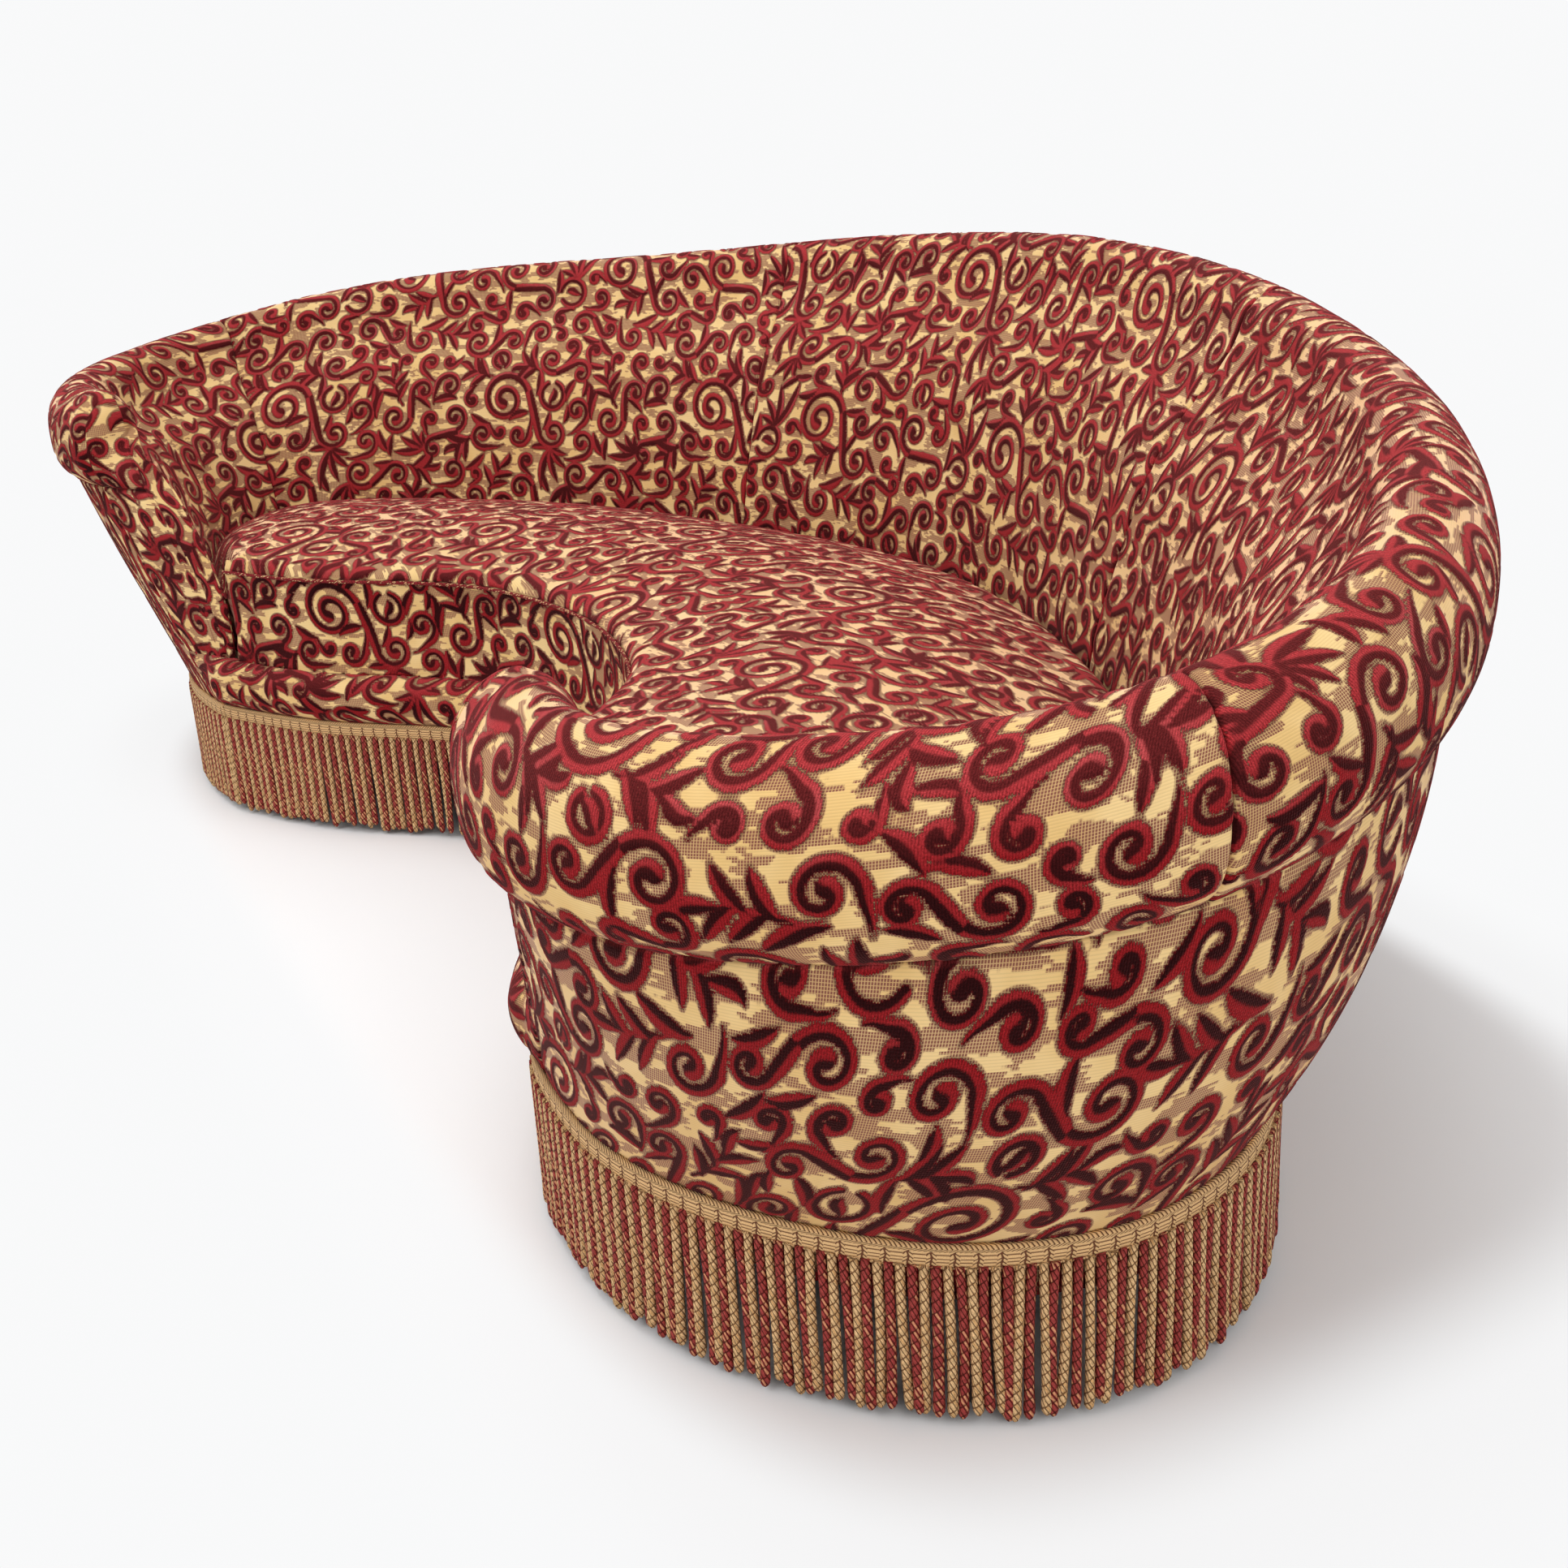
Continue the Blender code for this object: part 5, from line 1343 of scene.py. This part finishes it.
def braid_material():
    """Gold thread woven in paired columns over flat picks, with a row of stitches on top."""
    n = Finish("gold_braid", 0.65)
    cloth = n.cloth()
    run, up = n.parts(cloth)[:2]
    column = n.math("ABSOLUTE", n.math("FRACT", run / (2 * CORD_PITCH)) - 0.5)
    in_column = n.between(column, 0.24, 0.20)
    picks = n.arch(up / PICK_HEIGHT) ** 0.5 * 0.75
    slant = n.arch((up + column * 0.014) / STITCH_PITCH)
    crossed = slant * n.between(column, 0.02, 0.09) ** 0.5
    body = in_column * crossed + (1.0 - in_column) * picks
    edge = n.between(up, 0.0172, 0.0180)
    stitch = n.arch(run / STITCH_PITCH + up * 55.0)
    height = edge * stitch + (1.0 - edge) * body
    threads = n.noise(n.mapped(cloth, (1500, 2600, 1)), 1.0, 1.0, 0.5, "2D")
    gold = n.mix(n.between(threads, 0.3, 0.75), BRAID_GOLD, CORD_GOLD_DEEP)
    # The braid is painted dark where its weave is low, as shadow.
    return n.surface({"Base Color": n.mix(n.between(height, 0.15, 0.75), PAINTED_BRAID_SHADOW, gold),
                      "Normal": n.bump(height, 0.0013, 0.9), "Specular IOR Level": 0.12})


braid = braid_material()
gold_cord = twisted_material("gold_bullion", CORD_GOLD, CORD_GOLD_DEEP, 0.5, TWIST_PITCH,
                             TWIST_RELIEF)
red_cord = twisted_material("burgundy_bullion", CORD_BURGUNDY, CORD_FLECK, 0.45, TWIST_PITCH,
                            TWIST_RELIEF)


def ring_order():
    """The side and ring of each vertex of one cord's tube, in the order the grid makes them."""
    rings = len(CORD_RINGS) - 1
    bm = bmesh.new()
    bmesh.ops.create_grid(bm, x_segments=CORD_SIDES, y_segments=rings, size=1.0)
    order = np.array([[(v.co.x + 1) / 2 * CORD_SIDES, (v.co.y + 1) / 2 * rings]
                      for v in bm.verts])
    bm.free()
    return np.rint(order)


def repeated(mesh, count):
    """Copies of a mesh in one, each copy's vertices after the last one's."""
    holder = bpy.data.objects.new("holder", mesh)
    bpy.context.scene.collection.objects.link(holder)
    array = holder.modifiers.new("copies", "ARRAY")
    array.count = count
    array.use_relative_offset = False
    array.use_constant_offset = True
    array.constant_offset_displace = (1.0, 0.0, 0.0)
    graph = bpy.context.evaluated_depsgraph_get()
    copies = bpy.data.meshes.new_from_object(holder.evaluated_get(graph))
    bpy.data.objects.remove(holder)
    return copies


def heading_mesh(places):
    """A length of braid: its section carried along the base, with scalloped top stitches."""
    line = at_level(BASE.at(places), HEADING_TOP - HEADING_HEIGHT)
    out = BASE.out(places)
    grid = np.stack([line + out * o + UP * u for o, u in zip(BRAID_OUT, BRAID_UP)], 1)
    scallops = np.sin(np.arange(len(places)) * 4 / 3.2 * math.pi) * SCALLOP
    grid[:, -3:, 2] += scallops[:, None]
    grid = np.concatenate([grid, grid[:, :1]], 1)
    run = lengths_along(grid, 0)
    uv = np.stack([run, np.broadcast_to(np.array(BRAID_UP + (0.0,)), run.shape)], -1)
    mesh = grid_mesh("heading", grid, uv)
    close_up(mesh)
    return mesh


def cords_mesh(fine, run, chance):
    """Hanging cords in two colours by turns: six-sided tubes with a rounded loop end."""
    count = int(run[-1] / CORD_PITCH)
    shape = (CORD_SIDES + 1, len(CORD_RINGS))
    cords = repeated(grid_mesh("cord", np.zeros(shape + (3,)), np.zeros(shape + (2,))), count)
    order = ring_order()
    around = order[:, 0] / CORD_SIDES
    share = np.array(CORD_RINGS)[order[:, 1].astype(int)]
    places = np.interp((np.arange(count) + 0.5) * run[-1] / count, run, fine)
    top = HEADING_TOP - HEADING_HEIGHT + CORD_HIDDEN
    tip = CORD_TIP + chance.uniform(*TIP_SPREAD, count)[:, None]
    lean, swing, bend = (chance.normal(0, spread, count)[:, None]
                         for spread in (LEAN, SWING, BEND))
    thick = CORD_RADIUS * chance.uniform(*THICK_SPREAD, count)[:, None]
    length = top - tip
    radius = thick * np.interp(share, *CORD_SWELL)
    aside = lean * share**1.5 + bend * np.sin(math.pi * share) + radius * np.cos(
        around * 2 * math.pi)
    outwards = CORD_OUT + swing * share**1.5 + radius * np.sin(around * 2 * math.pi)
    hanging = (at_level(BASE.at(places), 0.0)[:, None]
               + BASE.ahead(places)[:, None] * aside[..., None]
               + BASE.out(places)[:, None] * outwards[..., None]
               + UP * (top - length * share)[..., None])
    cords.vertices.foreach_set("co", hanging.reshape(-1))
    down = length * share + chance.uniform(*TWIST_SPREAD, count)[:, None]
    twist = np.stack([down, np.broadcast_to(around, down.shape)], -1)
    set_cloth_map(cords, twist.reshape(-1, 2))
    each = len(cords.polygons) // count
    colour = np.arange(len(cords.polygons)) // each % 2
    cords.polygons.foreach_set("material_index", colour.astype(np.int32))
    close_up(cords)
    return cords


chance = np.random.default_rng(17)
for side_name, (start, end) in RUNS.items():
    fine = np.linspace(start, end, 600)
    run = lengths_along(BASE.at(fine)[:, None], 0)[:, 0]
    mesh = heading_mesh(np.interp(np.arange(0.0008, run[-1] - 0.0005, BRAID_STEP), run, fine))
    add_piece("heading_braid_" + side_name, mesh, braid, "sofa", "gold_braid",
              "fringe_heading_" + side_name)
    cords = cords_mesh(fine, run, chance)
    add_piece("bullion_cords_" + side_name, cords, (gold_cord, red_cord), "sofa",
              "bullion_cords", "fringe_cords_" + side_name)


# Floor and studio light: the floor keeps the sofa's shadow and fades into the pale background.
# Four soft boxes light the sofa from above, in front and both sides.
BACKGROUND = (0.945, 0.948, 0.953)
FLOOR_PALE = (0.90, 0.90, 0.905, 1.0)
FLOOR_SPAN = (1 / 1.25, 1 / 0.60, 1.0)
ROOM_LIGHT = 0.56
floor_mesh = bpy.data.meshes.new("floor")
bm = bmesh.new()
bmesh.ops.create_grid(bm, x_segments=1, y_segments=1, size=30.0)
bm.to_mesh(floor_mesh)
bm.free()
floor = bpy.data.objects.new("floor", floor_mesh)
bpy.context.scene.collection.objects.link(floor)


def seen_directly(n):
    """One for camera, glossy and transmission rays."""
    path = n.outputs("LightPath")
    return n.math("MAXIMUM", n.math("MAXIMUM", path["Is Camera Ray"], path["Is Glossy Ray"]),
                  path["Is Transmission Ray"])


def floor_material():
    """A pale floor that gives way to the background outside a rounded box round the sofa."""
    n = Finish("pale_floor", 0.9)
    n.surface({"Base Color": FLOOR_PALE, "Specular IOR Level": 0.1})
    place = n.parts(n.mapped(n.place(), FLOOR_SPAN))
    across, along = (n.math("ABSOLUTE", way) ** 4.0 for way in place[:2])
    far = (across + along) ** 0.25
    fade = n.between(far, 0.96, 1.10, 0.0, 0.86) + n.between(far, 1.10, 1.35, 0.0, 0.14)
    glow = n.value("Emission", (*BACKGROUND, 1.0))
    both = n.value("MixShader", fade * seen_directly(n), Value(n, n.shader.outputs[0]), glow)
    n.feed(n.tree.nodes["Material Output"].inputs["Surface"], both)
    return n.mat


floor_mesh.materials.append(floor_material())

world = bpy.data.worlds.new("studio")
bpy.context.scene.world = world
world.use_nodes = True
n = Nodes(world.node_tree)
background = world.node_tree.nodes["Background"]
background.inputs["Color"].default_value = (*BACKGROUND, 1.0)
n.feed(background.inputs["Strength"], n.between(seen_directly(n), 0.0, 1.0, ROOM_LIGHT, 1.0))


def soft_box(name, place, target, size, power):
    data = bpy.data.lights.new(name, "AREA")
    data.shape = "RECTANGLE"
    data.size, data.size_y = size
    data.energy = power
    light = bpy.data.objects.new(name, data)
    bpy.context.scene.collection.objects.link(light)
    aim = Matrix.Translation(place).to_translation() - Matrix.Translation(target).to_translation()
    light.matrix_world = Matrix.Translation(place) @ aim.to_track_quat("Z", "Y").to_matrix().to_4x4()


soft_box("overhead", (0.2, -0.4, 4.2), (0.1, 0.0, 0.0), (3.6, 2.6), 78)
soft_box("over_the_front", (0.8, -3.2, 3.2), (0.0, 0.0, 0.3), (3.0, 2.0), 46)
soft_box("from_the_left", (-3.6, -1.5, 2.6), (0.0, 0.0, 0.4), (2.0, 2.0), 20)
soft_box("from_the_right", (4.0, -0.6, 2.4), (0.4, 0.0, 0.4), (2.0, 2.0), 34)

bpy.context.scene.view_settings.view_transform = "Standard"
